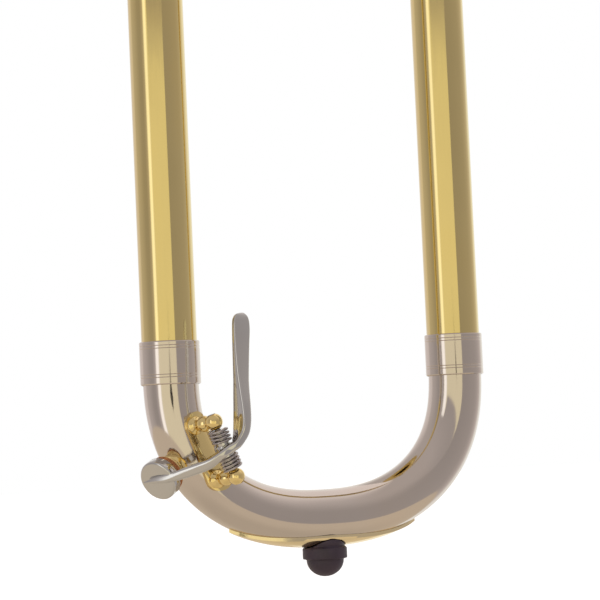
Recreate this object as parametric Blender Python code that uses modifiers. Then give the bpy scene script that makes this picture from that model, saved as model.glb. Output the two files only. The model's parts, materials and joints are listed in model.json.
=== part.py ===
"""Bass trombone with two in-line rotary valves, made of separate pieces.

+Z runs up the hand slide, away from its end bow. The slide's two legs lie in the XZ plane
and the bell section lies towards +Y. The origin is the middle of the inner hand brace.
"""
import math

import bmesh
import bpy
from mathutils import Matrix, Vector

mm = 0.001

# Clearances
seat_gap = 0.3 * mm
run_gap = 0.4 * mm
end_gap = 0.5 * mm

# Hand slide
slide_spacing = 92.0 * mm
outer_tube_r = 8.0 * mm
outer_tube_wall = 0.3 * mm
outer_tube_length = 620.0 * mm
inner_bore_r = 7.135 * mm
inner_tube_wall = 0.25 * mm
stocking_rise = 0.1 * mm
stocking_length = 110.0 * mm
inner_tube_above_bow = 20.0 * mm

# Cork barrels, felts and lock ring
barrel_length = 43.7 * mm
barrel_bore_r = 8.7 * mm
barrel_wall = 1.1 * mm
barrel_end_wall = 3.0 * mm
tube_entry = 10.0 * mm
felt_length = 12.0 * mm
lock_ring_wall = 1.9 * mm
lock_ring_height = 8.0 * mm
lock_hook_drop = 8.0 * mm
lock_hook_width = 5.0 * mm
lock_lug_height = 3.0 * mm
lock_lug_reach = 2.0 * mm
lock_hook_wall = 1.6 * mm
lock_unlocked_angle = math.radians(35.0)

# Hand braces
inner_brace_ring_wall = 1.6 * mm
inner_brace_ring_height = 12.0 * mm
outer_brace_ring_wall = 1.3 * mm
outer_brace_ring_height = 14.0 * mm
brace_bar_r = 4.5 * mm
brace_flange_r = 6.0 * mm
brace_flange_length = 5.0 * mm
outer_brace_below_sleeve_top = 24.0 * mm
sleeve_wall = 0.5 * mm
sleeve_length = 48.0 * mm
sleeve_below_barrel = 2.0 * mm

# End bow and its ferrules
bow_drop = 41.8 * mm
bow_power = 2.36
bow_wall = 0.5 * mm
bow_straight = 2.0 * mm
ferrule_above_bow = 10.0 * mm
ferrule_below_tube = 2.5 * mm
ferrule_wall = 0.4 * mm
ferrule_edge = 0.3 * mm

# Bow guard and bumper
guard_half_length = 30.0 * mm
guard_half_width = 6.0 * mm
guard_wall = 0.6 * mm
bumper_neck_r = 5.9 * mm
bumper_band_r = 6.55 * mm
bumper_dome_r = 5.55 * mm
bumper_band_height = 3.1 * mm
bumper_length = 8.6 * mm
bumper_tip_flat_r = 2.2 * mm

# Water key hinge: its middle, measured from the bow's springline midway between the tubes
hinge_from_springline = Vector((-37.57, -18.63, -20.6)) * mm
hinge_lean = math.radians(21.2)
hinge_turn = math.radians(11.6)
post_spacing = 16.6 * mm
post_ball_r = 2.45 * mm
post_bulb_r = 2.3 * mm
post_neck_r = 1.45 * mm
post_collar_r = 2.6 * mm
post_length = 10.5 * mm
hinge_pin_r = 0.8 * mm
saddle_length = 24.0 * mm
saddle_width = 7.7 * mm
saddle_offset = -1.0 * mm
saddle_wall = 0.8 * mm

# Water key nipple, cork and cup
nipple_along_bow = math.radians(28.0)
nipple_round_bow = math.radians(-62.0)
nipple_r = 4.15 * mm
nipple_bore_r = 2.2 * mm
nipple_height = 3.0 * mm
cork_r = 4.5 * mm
cork_height = 2.8 * mm
cup_r = 5.85 * mm
cup_height = 3.2 * mm
cup_cavity = 1.2 * mm

# Water key lever: along the hinge frame's outward, across and axis directions, then width and depth
lever_sections = [
    (-16.9, 18.2, 0.9, 0.9, 1.4),
    (-13.9, 16.3, 1.1, 1.8, 1.8),
    (-9.9, 13.6, 1.7, 2.6, 2.4),
    (-5.2, 10.0, 1.8, 3.0, 2.8),
    (-0.4, 6.5, 1.6, 2.9, 3.0),
    (2.5, 3.8, 0.5, 2.2, 2.8),
    (3.4, 1.1, -0.1, 2.5, 3.2),
    (4.5, -1.1, -0.5, 2.3, 3.0),
    (4.4, -2.9, -1.6, 2.5, 4.4),
    (4.2, -4.5, -3.0, 2.6, 5.7),
    (4.1, -6.1, -5.5, 2.7, 6.2),
    (4.2, -7.7, -9.0, 3.0, 5.6),
    (4.0, -9.8, -13.5, 3.5, 4.4),
    (3.8, -12.4, -18.7, 4.2, 3.0),
    (3.5, -15.6, -24.8, 4.9, 2.1),
    (3.4, -18.0, -29.4, 5.3, 1.7),
    (3.3, -19.1, -31.9, 4.6, 1.5),
    (3.2, -19.6, -33.1, 2.4, 1.4),
]
lever_barrel_r = 2.4 * mm
lever_barrel_half = 1.35 * mm
lever_sleeve_r = 1.9 * mm
lever_sleeve_half = 5.7 * mm

# Water key spring: one wire, a coil on each side of the lever and a bridge over its barrel
spring_wire_r = 0.28 * mm
spring_coil_r = 2.65 * mm
spring_pitch = 1.0 * mm
spring_turns = 4
spring_points_per_turn = 8
spring_first_coil = 1.95 * mm
spring_bridge_r = 3.1 * mm
spring_leg = 6.0 * mm

# Mouthpiece, its receiver and the leadpipe
shank_tip_r = 6.35 * mm
shank_taper = 0.025
shank_in_receiver = 25.0 * mm
receiver_top = 65.0 * mm
receiver_foot = 8.0 * mm
receiver_wall = 1.3 * mm
receiver_tube_seat = 22.0 * mm
leadpipe_length = 210.0 * mm
leadpipe_r = 6.8 * mm
leadpipe_wall = 0.5 * mm
mouthpiece_length = 87.0 * mm
mouthpiece_rim_r = 19.5 * mm
cup_mouth_r = 13.9 * mm
cup_depth = 28.0 * mm
throat_r = 3.6 * mm

# Joint between the hand slide and the bell section
tenon_foot = 7.0 * mm
tenon_tube_seat = 34.0 * mm
tenon_top = 52.0 * mm
tenon_neck_r = 8.6 * mm
tenon_flange_r = 10.4 * mm
tenon_flange_at = 20.0 * mm
tenon_flange_height = 2.5 * mm
tenon_taper_foot_r = 9.2 * mm
tenon_taper_top_r = 8.6 * mm
tenon_bore_r = 7.2 * mm
lock_nut_foot = 12.0 * mm
lock_nut_height = 22.0 * mm
lock_nut_bore_r = 11.9 * mm
lock_nut_wall = 1.6 * mm
lock_nut_ribs = 16
lock_nut_rib_depth = 0.5 * mm
slide_receiver_foot = 23.0 * mm
slide_receiver_top = 64.0 * mm
slide_receiver_wall = 1.6 * mm

# Bell section main line: measured from the slide's bell-side tube
main_tube_r = 8.0 * mm
main_tube_wall = 0.5 * mm
first_valve_height = 150.0 * mm
second_valve_height = 222.0 * mm
bell_offset = 135.0 * mm
knuckle_bend_r = 22.0 * mm
main_leg_top = 276.0 * mm
narrow_sleeve_foot = 271.0 * mm
wide_sleeve_foot = 268.5 * mm
main_sleeve_top = 345.0 * mm
sleeve_tube_wall = 0.6 * mm
narrow_crook_r = 8.9 * mm
narrow_leg_r = 8.0 * mm
wide_crook_r = 11.4 * mm
wide_leg_r = 10.5 * mm
main_leg_length = 66.0 * mm
crook_step = 1.0 * mm
crook_ferrule = 9.0 * mm

# Bell
bell_rim_height = -255.0 * mm
bell_rim_r = 120.5 * mm
bell_flare = 31.5 * mm
bell_power = 0.85
bell_wall = 0.6 * mm
bell_tail_top = 268.0 * mm
bell_bead_r = 2.0 * mm
bell_steps = 11

# Rotary valves
rotor_r = 17.3 * mm
rotor_half = 16.0 * mm
rotor_axle_r = 3.0 * mm
casing_wall = 2.0 * mm
casing_half = 18.0 * mm
port_bore_r = 6.5 * mm
port_socket_wall = 0.7 * mm
port_socket_end = 24.0 * mm
port_tube_start = 21.0 * mm
cap_thickness = 4.0 * mm
plate_thickness = 2.6 * mm
stop_arm_inner = 20.0 * mm
stop_arm_thickness = 3.5 * mm
stop_arm_hub_r = 5.5 * mm
stop_arm_width = 5.0 * mm
stop_finger_reach = 14.0 * mm
stop_pin_r = 1.5 * mm
stop_pin_radius = 13.0 * mm
stop_pin_gap = math.radians(2.2)
rotor_throw = math.radians(90.0)
crank_r = 10.0 * mm
crank_ball_r = 2.0 * mm
crank_neck_r = 1.3 * mm

# Thumb levers and rods
thumb_arm = 32.0 * mm
open_pivot_gap = 1.5 * mm
rod_ring_wall = 1.5 * mm
rod_ring_width = 5.0 * mm
rod_eye_wall = 2.0 * mm
rod_eye_width = 4.0 * mm
rod_r = 1.2 * mm
rod_pin_r = 1.5 * mm
lever_plate = 2.4 * mm
lever_hub_r = 4.0 * mm
pivot_screw_r = 1.75 * mm
first_rod_plane = -29.0 * mm
second_rod_plane = -40.0 * mm
thumb_reach = 30.0 * mm
thumb_rise = 13.0 * mm
paddle_length = 21.0 * mm
paddle_width = 13.0 * mm
paddle_thickness = 2.0 * mm
paddle_spread = 1.75 * mm
bracket_half_height = 7.0 * mm
bracket_half_width = 5.0 * mm
bracket_plate = 3.5 * mm

# Valve loops
first_loop_plane = -24.0 * mm
second_loop_plane = 24.0 * mm
loop_turn_r = 56.0 * mm
loop_leg_gap = 43.4 * mm
loop_shift_run = 44.0 * mm
first_loop_top = 452.0 * mm
second_loop_top = 420.0 * mm
loop_tube_r = 8.0 * mm
loop_tube_wall = 0.5 * mm
loop_leg_length = 85.0 * mm
loop_sides = 10

# Bell braces
front_brace_height = 78.0 * mm
rear_brace_height = 306.0 * mm
bell_brace_bar_r = 3.2 * mm
bell_brace_flange_r = 7.0 * mm
bell_brace_flange_length = 9.0 * mm

# Levels and radii that follow from the sizes above
half_spacing = slide_spacing / 2
brace_half = inner_brace_ring_height / 2
barrel_top = -(brace_half + seat_gap)
barrel_bottom = barrel_top - barrel_length
outer_top = barrel_bottom + tube_entry
springline = outer_top - outer_tube_length
sleeve_top = barrel_bottom - sleeve_below_barrel
outer_brace_height = sleeve_top - outer_brace_below_sleeve_top
inner_tube_r = inner_bore_r + inner_tube_wall
inner_tube_foot = springline + inner_tube_above_bow
sleeve_bore_r = outer_tube_r + seat_gap
sleeve_r = sleeve_bore_r + sleeve_wall
barrel_r = barrel_bore_r + barrel_wall
inner_seat_r = inner_tube_r + seat_gap
casing_bore_r = rotor_r + run_gap
casing_r = casing_bore_r + casing_wall
socket_bore_r = main_tube_r + seat_gap
knuckle_cos = math.cos(math.radians(45.0))
port_run = port_socket_end + 1.0 * mm - port_tube_start
knuckle_start = port_tube_start + port_run
valve_offset = knuckle_start * knuckle_cos + knuckle_bend_r * (1 - knuckle_cos)
knuckle_rise = (knuckle_start + knuckle_bend_r) * knuckle_cos
crank_swing = crank_r * math.sin(rotor_throw / 2)
thumb_half_angle = math.asin(crank_swing / thumb_arm)
open_pivot_shift = (crank_r * (1 - math.cos(rotor_throw / 2)) - thumb_arm * (1 - math.cos(thumb_half_angle))) / 2
pivot_offset = (valve_offset + crank_r * math.cos(rotor_throw / 2) + open_pivot_shift
                - thumb_arm * math.cos(thumb_half_angle))
pivot_height = 96.0 * mm


def new_collection(name):
    """Add a collection to the scene."""
    collection = bpy.data.collections.new(name)
    bpy.context.scene.collection.children.link(collection)
    return collection


def new_material(name, colour, roughness, metallic):
    """A plain Principled material."""
    material = bpy.data.materials.new(name)
    material.use_nodes = True
    shader = material.node_tree.nodes["Principled BSDF"]
    shader.inputs["Base Color"].default_value = (*colour, 1.0)
    shader.inputs["Roughness"].default_value = roughness
    shader.inputs["Metallic"].default_value = metallic
    return material


def new_empty(name, location, parent=None, turn=None):
    """An empty that stands for a joint or a sub-frame."""
    empty = bpy.data.objects.new(name, None)
    empty.empty_display_size = 0.02
    empty.location = location
    empty.parent = parent
    if turn is not None:
        empty.rotation_euler = turn.to_euler()
    parts.objects.link(empty)
    return empty


def add_object(name, mesh, material, parent=None, location=(0, 0, 0), turn=(0, 0, 0)):
    """Put a mesh in the parts collection as one named piece, or with the cutters when it has no material."""
    piece = bpy.data.objects.new(name, mesh)
    piece.parent = parent
    piece.location = location
    piece.rotation_euler = turn
    if material is None:
        cutters.objects.link(piece)
        piece.hide_render = True
        piece.display_type = "WIRE"
    else:
        mesh.materials.clear()
        mesh.materials.append(material)
        mesh.shade_smooth()
        mesh.set_sharp_from_angle(angle=math.radians(35))
        parts.objects.link(piece)
    return piece


def turned(name, profile, material, parent=None, location=(0, 0, 0), turn=(0, 0, 0), sides=16, ring=True):
    """Turn a profile of (radius, height) about Z; a ring's profile is a closed loop.

    A cutter starts part of a side round, so that its corners fall between those of the piece.
    """
    mesh = bpy.data.meshes.new(name)
    edges = [(i, i + 1) for i in range(len(profile) - 1)]
    if ring:
        edges.append((len(profile) - 1, 0))
    first = 0.0 if material else 0.4 * math.tau / sides
    corners = [(radius * math.cos(first), radius * math.sin(first), height) for radius, height in profile]
    mesh.from_pydata(corners, edges, [])
    piece = add_object(name, mesh, material, parent, location, turn)
    screw = piece.modifiers.new("Turn", "SCREW")
    screw.axis = "Z"
    screw.angle = math.tau
    screw.steps = sides
    screw.render_steps = sides
    screw.use_merge_vertices = True
    screw.merge_threshold = 0.00001
    screw.use_smooth_shade = True
    return piece


def tube_ring(name, outer_r, inner_r, top, bottom, material, parent=None, location=(0, 0, 0),
              turn=(0, 0, 0), sides=16):
    """A plain turned tube."""
    profile = [(outer_r, top), (outer_r, bottom), (inner_r, bottom), (inner_r, top)]
    return turned(name, profile, material, parent, location, turn, sides)


def plug(name, radius, top, bottom, parent=None, location=(0, 0, 0), turn=(0, 0, 0), sides=16):
    """A plain solid cylinder for cutting or joining."""
    profile = [(0, top), (radius, top), (radius, bottom), (0, bottom)]
    return turned(name, profile, None, parent, location, turn, sides, ring=False)


def swept_mesh(points, radius, sides, factors=None, caps=True):
    """The mesh of a bevelled curve through points."""
    curve = bpy.data.curves.new("route", "CURVE")
    curve.dimensions = "3D"
    curve.bevel_depth = radius
    curve.bevel_resolution = (sides - 4) // 2
    curve.use_fill_caps = caps
    spline = curve.splines.new("POLY")
    spline.points.add(len(points) - 1)
    for index, point in enumerate(points):
        spline.points[index].co = (*point, 1)
        spline.points[index].radius = 1.0 if factors is None else factors[index]
    route = bpy.data.objects.new("route", curve)
    bpy.context.scene.collection.objects.link(route)
    bpy.context.view_layer.update()
    evaluated = route.evaluated_get(bpy.context.evaluated_depsgraph_get())
    mesh = bpy.data.meshes.new_from_object(evaluated)
    bpy.data.objects.remove(route)
    bpy.data.curves.remove(curve)
    weld(mesh)
    return mesh


def weld(mesh):
    """Merge a mesh's doubled points and turn its faces the same way."""
    shape = bmesh.new()
    shape.from_mesh(mesh)
    bmesh.ops.remove_doubles(shape, verts=shape.verts, dist=0.000001)
    shape.to_mesh(mesh)
    shape.free()


def swept(name, points, radius, material, parent=None, sides=10, wall=None, factors=None, location=(0, 0, 0)):
    """A rod, or with a wall an open tube, along a route."""
    mesh = swept_mesh(points, radius, sides, factors, caps=wall is None)
    mesh.name = name
    piece = add_object(name, mesh, material, parent, location)
    if wall is not None:
        shell = piece.modifiers.new("Wall", "SOLIDIFY")
        shell.thickness = wall
        shell.offset = -1.0
        shell.use_even_offset = True
    return piece


def flat_plate(name, outline, thickness, material, parent=None, location=(0, 0, 0), turn=(0, 0, 0)):
    """A flat outline in local XY, thickened evenly about its plane."""
    curve = bpy.data.curves.new("outline", "CURVE")
    curve.dimensions = "2D"
    curve.fill_mode = "BOTH"
    curve.extrude = thickness / 2
    spline = curve.splines.new("POLY")
    spline.points.add(len(outline) - 1)
    for index, (x, y) in enumerate(outline):
        spline.points[index].co = (x, y, 0, 1)
    spline.use_cyclic_u = True
    flat = bpy.data.objects.new("outline", curve)
    bpy.context.scene.collection.objects.link(flat)
    bpy.context.view_layer.update()
    mesh = bpy.data.meshes.new_from_object(flat.evaluated_get(bpy.context.evaluated_depsgraph_get()))
    bpy.data.objects.remove(flat)
    bpy.data.curves.remove(curve)
    weld(mesh)
    mesh.name = name
    return add_object(name, mesh, material, parent, location, turn)


def box(name, size, parent=None, location=(0, 0, 0), turn=(0, 0, 0), material=None):
    """A box centred on its own origin."""
    mesh = bpy.data.meshes.new(name)
    shape = bmesh.new()
    bmesh.ops.create_cube(shape, size=1.0, matrix=Matrix.Diagonal((*size, 1.0)))
    shape.to_mesh(mesh)
    shape.free()
    return add_object(name, mesh, material, parent, location, turn)


def boolean(piece, other, operation):
    """Join, cut or intersect a piece with another shape."""
    step = piece.modifiers.new(operation.title(), "BOOLEAN")
    step.operation = operation
    step.solver = "EXACT"
    step.object = other


def cut(piece, *others):
    """Cut shapes out of a piece."""
    for other in others:
        boolean(piece, other, "DIFFERENCE")


def join(piece, *others):
    """Fuse shapes to a piece."""
    for other in others:
        boolean(piece, other, "UNION")


def link_outline(start, start_r, end, end_r, steps=4):
    """The outline of a flat link: two round ends and the straight edges between them."""
    start = Vector(start)
    end = Vector(end)
    along = end - start
    heading = math.atan2(along.y, along.x)
    lean = math.asin((start_r - end_r) / along.length)
    points = []
    for centre, radius, first, last in (
        (end, end_r, heading - math.pi / 2 + lean, heading + math.pi / 2 - lean),
        (start, start_r, heading + math.pi / 2 - lean, heading + 3 * math.pi / 2 + lean),
    ):
        for step in range(steps + 1):
            angle = first + (last - first) * step / steps
            points.append((centre.x + radius * math.cos(angle), centre.y + radius * math.sin(angle)))
    return points


class Route:
    """A path made of straight runs and bends."""

    def __init__(self, start, heading):
        self.place = Vector(start)
        self.heading = Vector(heading).normalized()
        self.points = [self.place.copy()]

    def forward(self, length, steps=1):
        """Run straight on."""
        for _ in range(steps):
            self.place += self.heading * (length / steps)
            self.points.append(self.place.copy())

    def bend(self, angle, radius, axis, steps):
        """Turn by an angle about an axis, right-handed."""
        axis = Vector(axis).normalized()
        inward = axis.cross(self.heading) * (1 if angle > 0 else -1)
        centre = self.place + inward * radius
        for step in range(1, steps + 1):
            spin = Matrix.Rotation(angle * step / steps, 3, axis)
            self.points.append(centre + spin @ (-inward * radius))
        spin = Matrix.Rotation(angle, 3, axis)
        self.place = self.points[-1].copy()
        self.heading = spin @ self.heading


def ease(share):
    """A smooth step from 0 to 1."""
    share = min(max(share, 0.0), 1.0)
    return share * share * (3 - 2 * share)


def shifted(points, plane, straight, run):
    """Move a route sideways into a plane over a run that follows its first straight."""
    moved = []
    travelled = 0.0
    for index, point in enumerate(points):
        if index:
            travelled += (point - points[index - 1]).length
        moved.append(point + Vector((plane * ease((travelled - straight) / run), 0, 0)))
    return moved


def bow_point(along):
    """A point of the end bow's centreline, from 0 at the bell side to pi at the mouthpiece side."""
    cosine = math.cos(along)
    sine = math.sin(along)
    reach = math.copysign(abs(cosine) ** (2 / bow_power), cosine)
    drop = abs(sine) ** (2 / bow_power)
    return Vector((-half_spacing * reach, 0, -bow_drop * drop))


def bow_route(first, last, steps):
    """Points of the bow's centreline between two angles."""
    return [bow_point(first + (last - first) * step / steps) for step in range(steps + 1)]


def bow_normal(along, around):
    """The direction out of the bow, turned round it from the front towards the inside of the U."""
    step = math.radians(0.01)
    tangent = (bow_point(along + step) - bow_point(along - step)).normalized()
    inside = tangent.cross(Vector((0, 1, 0)))
    return math.cos(around) * Vector((0, -1, 0)) + math.sin(around) * inside


def frame_turn(x_axis, z_axis):
    """The rotation whose local X and Z point along two square directions."""
    y_axis = z_axis.cross(x_axis)
    return Matrix((x_axis, y_axis, z_axis)).transposed()


def bell_radius(height):
    """The bell's outer radius at a height above the slide's origin."""
    from_rim = height - bell_rim_height
    return bell_rim_r * (bell_flare / (from_rim + bell_flare)) ** bell_power


for old in list(bpy.data.objects):
    bpy.data.objects.remove(old)
parts = new_collection("bass_trombone")
cutters = new_collection("cutters")

# Materials
brass = new_material("lacquered_brass", (0.72, 0.52, 0.18), 0.12, 1.0)
nickel = new_material("nickel_silver", (0.62, 0.58, 0.54), 0.12, 1.0)
gold = new_material("polished_gold_brass", (0.85, 0.60, 0.20), 0.15, 1.0)
steel = new_material("spring_steel", (0.30, 0.28, 0.28), 0.35, 1.0)
rubber = new_material("bumper_rubber", (0.03, 0.022, 0.03), 0.6, 0.0)
cork = new_material("cork", (0.55, 0.22, 0.07), 0.8, 0.0)
felt = new_material("felt", (0.12, 0.12, 0.13), 0.95, 0.0)
silver = new_material("silver_plate", (0.85, 0.84, 0.80), 0.08, 1.0)

along_x = (0, math.pi / 2, 0)
along_y = (-math.pi / 2, 0, 0)
sides_of_slide = (("bell_side", -half_spacing), ("mouthpiece_side", half_spacing))

# Joint frames
outer_slide = new_empty("outer_slide_frame", (0, 0, springline))
bell_section = new_empty("bell_section_frame", (-half_spacing, 0, 0))


def make_inner_slide():
    """The inner tubes, cork barrels, felts and hand brace."""
    for side, x in sides_of_slide:
        tube_top = receiver_foot + receiver_tube_seat if x > 0 else tenon_foot + tenon_tube_seat
        stocking_r = inner_tube_r + stocking_rise
        stocking_top = inner_tube_foot + stocking_length
        profile = [
            (inner_tube_r, tube_top),
            (inner_tube_r, stocking_top + stocking_rise),
            (stocking_r, stocking_top),
            (stocking_r, inner_tube_foot),
            (inner_bore_r, inner_tube_foot),
            (inner_bore_r, tube_top),
        ]
        turned(f"inner_tube_{side}", profile, nickel, location=(x, 0, 0))

        waist = barrel_top - barrel_end_wall
        profile = [
            (barrel_r - 0.8 * mm, barrel_top),
            (barrel_r, barrel_top - 0.8 * mm),
            (barrel_r, barrel_bottom),
            (barrel_bore_r, barrel_bottom),
            (barrel_bore_r, waist),
            (inner_seat_r, waist),
            (inner_seat_r, barrel_top),
        ]
        turned(f"cork_barrel_{side}", profile, nickel, location=(x, 0, 0))

        felt_bottom = outer_top + end_gap
        tube_ring(f"slide_felt_{side}", barrel_bore_r - seat_gap, inner_seat_r, felt_bottom + felt_length,
                  felt_bottom, felt, location=(x, 0, 0))
    hand_brace("inner_hand_brace", None, 0.0, inner_seat_r, inner_brace_ring_wall, inner_brace_ring_height)


def hand_brace(name, parent, height, bore_r, ring_wall, ring_height):
    """A bar between two rings, one round each leg of the slide."""
    ring_r = bore_r + ring_wall
    flange_at = half_spacing - ring_r
    profile = [
        (0, half_spacing),
        (brace_flange_r, half_spacing),
        (brace_flange_r, flange_at - brace_flange_length / 2),
        (brace_bar_r, flange_at - brace_flange_length),
        (brace_bar_r, -flange_at + brace_flange_length),
        (brace_flange_r, -flange_at + brace_flange_length / 2),
        (brace_flange_r, -half_spacing),
        (0, -half_spacing),
    ]
    bar = turned(name, profile, nickel, parent, (0, 0, height), along_x, sides=14, ring=False)
    for side, x in sides_of_slide:
        seat = plug(f"{name}_seat_{side}", bore_r + ring_wall / 2, ring_height, -ring_height, parent, (x, 0, height))
        cut(bar, seat)
    for side, x in sides_of_slide:
        ring = tube_ring(f"{name}_ring_{side}", ring_r, bore_r, ring_height / 2, -ring_height / 2, None, parent,
                         (x, 0, height))
        join(bar, ring)
    return bar


def make_lock_ring():
    """The ring that turns on the mouthpiece-side barrel and hooks the outer slide's lug."""
    ring_bore_r = barrel_r + seat_gap
    ring_r = ring_bore_r + lock_ring_wall
    ring_foot = barrel_bottom - sleeve_below_barrel / 4
    profile = [
        (ring_r - 0.4 * mm, lock_ring_height),
        (ring_r, lock_ring_height - 0.4 * mm),
        (ring_r, 0),
        (ring_bore_r, 0),
        (ring_bore_r, lock_ring_height),
    ]
    axis = new_empty("lock_ring_axis", (half_spacing, 0, ring_foot))
    ring = turned("slide_lock_ring", profile, nickel, axis)
    hook_inner = sleeve_r + end_gap
    drop = sleeve_top - ring_foot - lock_lug_height - 2 * end_gap
    hook_r = sleeve_r + lock_lug_reach + seat_gap
    hook_outer = hook_r + lock_hook_wall
    hook_top = lock_ring_height * 0.4
    hook = box("lock_hook", (lock_hook_wall, lock_hook_width, lock_hook_drop + hook_top), axis,
               polar(hook_r + lock_hook_wall / 2, lock_unlocked_angle, (hook_top - lock_hook_drop) / 2),
               (0, 0, lock_unlocked_angle))
    foot_height = lock_hook_drop + drop
    foot = box("lock_hook_foot", (hook_outer - hook_inner, lock_hook_width * 0.9, foot_height), axis,
               polar((hook_outer - 0.1 * mm + hook_inner) / 2, lock_unlocked_angle, drop - foot_height / 2 + 0.05 * mm),
               (0, 0, lock_unlocked_angle))
    join(ring, hook, foot)
    return ring


def polar(radius, angle, height):
    """A point at a radius and angle about Z."""
    return Vector((radius * math.cos(angle), radius * math.sin(angle), height))


def make_outer_slide():
    """The outer tubes, their sleeves, ferrules and hand brace."""
    for side, x in sides_of_slide:
        tube_ring(f"outer_tube_{side}", outer_tube_r, outer_tube_r - outer_tube_wall,
                  outer_tube_length, seat_gap / 2, brass, outer_slide, (x, 0, 0), sides=20)
        bore = outer_tube_r + seat_gap
        outer = bore + ferrule_wall
        profile = [
            (outer - ferrule_edge, ferrule_above_bow),
            (outer, ferrule_above_bow - ferrule_edge),
            (outer, -ferrule_below_tube + ferrule_edge),
            (outer - ferrule_edge, -ferrule_below_tube),
            (bore, -ferrule_below_tube),
            (bore, ferrule_above_bow),
        ]
        turned(f"ferrule_{side}", profile, nickel, outer_slide, (x, 0, 0), sides=20)

        top = sleeve_top - springline
        profile = [
            (sleeve_r + 0.5 * mm, top),
            (sleeve_r + 0.5 * mm, top - 1.5 * mm),
            (sleeve_r, top - 2.0 * mm),
            (sleeve_r, top - sleeve_length),
            (sleeve_bore_r, top - sleeve_length),
            (sleeve_bore_r, top),
        ]
        sleeve = turned(f"outer_sleeve_{side}", profile, nickel, outer_slide, (x, 0, 0))
        if x > 0:
            root = 0.44 * mm
            lug = box("lock_lug", (lock_lug_reach + root, 4.0 * mm, lock_lug_height), outer_slide,
                      (x + sleeve_r + (lock_lug_reach - root) / 2, 0, top - lock_lug_height / 2 - end_gap))
            join(sleeve, lug)
    hand_brace("outer_hand_brace", outer_slide, outer_brace_height - springline, sleeve_r + seat_gap,
               outer_brace_ring_wall, outer_brace_ring_height)


def make_bow():
    """The end bow with its drilled water hole, the guard and the bumper."""
    wall_route = bow_route(0, math.pi, 16)
    for end, x in ((0, -half_spacing), (-1, half_spacing)):
        wall_route[end] = Vector((x, 0, -bow_straight))
    wall_route.insert(0, Vector((-half_spacing, 0, -seat_gap / 2)))
    wall_route.append(Vector((half_spacing, 0, -seat_gap / 2)))
    bow = swept("end_bow", wall_route, outer_tube_r, nickel, outer_slide, sides=16, wall=bow_wall)
    out = bow_normal(nipple_along_bow, nipple_round_bow)
    seat = bow_point(nipple_along_bow)
    nipple_turn = out.to_track_quat("Z", "Y").to_euler()
    hole = plug("water_hole", nipple_bore_r - 0.4 * mm, 14.0 * mm, 4.0 * mm, outer_slide, seat, nipple_turn, sides=12)
    cut(bow, hole)

    bow_seat = swept("bow_seat", bow_route(math.radians(3), math.radians(177), 30), outer_tube_r + seat_gap,
                     None, outer_slide, sides=16)
    tip = outer_tube_r + nipple_height
    profile = [
        (nipple_r - 0.5 * mm, tip),
        (nipple_r, tip - 0.5 * mm),
        (nipple_r, outer_tube_r - 1.6 * mm),
        (nipple_bore_r, outer_tube_r - 1.6 * mm),
        (nipple_bore_r, tip),
    ]
    nipple = turned("water_nipple", profile, gold, outer_slide, seat, nipple_turn, sides=14)
    cut(nipple, bow_seat)

    guard = swept("bow_guard", bow_route(math.radians(35), math.radians(145), 14),
                  outer_tube_r + seat_gap + guard_wall, brass, outer_slide, sides=16)
    lens = []
    steps = 8
    for direction in (1, -1):
        for step in range(steps):
            x = direction * guard_half_length * (2 * step / steps - 1)
            lens.append((x, -direction * guard_half_width * (1 - (x / guard_half_length) ** 2) ** 0.8))
    blank = flat_plate("guard_outline", lens, 30.0 * mm, None, outer_slide,
                       (0, 0, -bow_drop - 13.0 * mm))
    boolean(guard, blank, "INTERSECT")
    cut(guard, bow_seat)

    guard_clear = swept("guard_clear", bow_route(math.radians(60), math.radians(120), 10),
                        outer_tube_r + 2 * seat_gap + guard_wall, None, outer_slide, sides=16)
    band_top = -3.2 * mm
    seat_top = 4.0 * mm
    profile = [
        (0, seat_top),
        (bumper_band_r - 0.1 * mm, seat_top),
        (bumper_band_r - 0.1 * mm, band_top + 1.4 * mm),
        (bumper_neck_r, band_top + 0.6 * mm),
        (bumper_band_r, band_top),
        (bumper_band_r, band_top - bumper_band_height),
        (bumper_dome_r, band_top - bumper_band_height - 0.4 * mm),
        (bumper_dome_r * 0.92, band_top - bumper_band_height - 2.2 * mm),
        (bumper_dome_r * 0.72, band_top - bumper_band_height - 3.8 * mm),
        (bumper_tip_flat_r, band_top - bumper_band_height - 5.2 * mm),
        (0, band_top - bumper_band_height - 5.2 * mm),
    ]
    bumper = turned("bow_bumper", profile, rubber, outer_slide, (0, 0, -bow_drop - outer_tube_r + 2.0 * mm),
                    sides=16, ring=False)
    cut(bumper, guard_clear)
    return bow_seat


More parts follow.
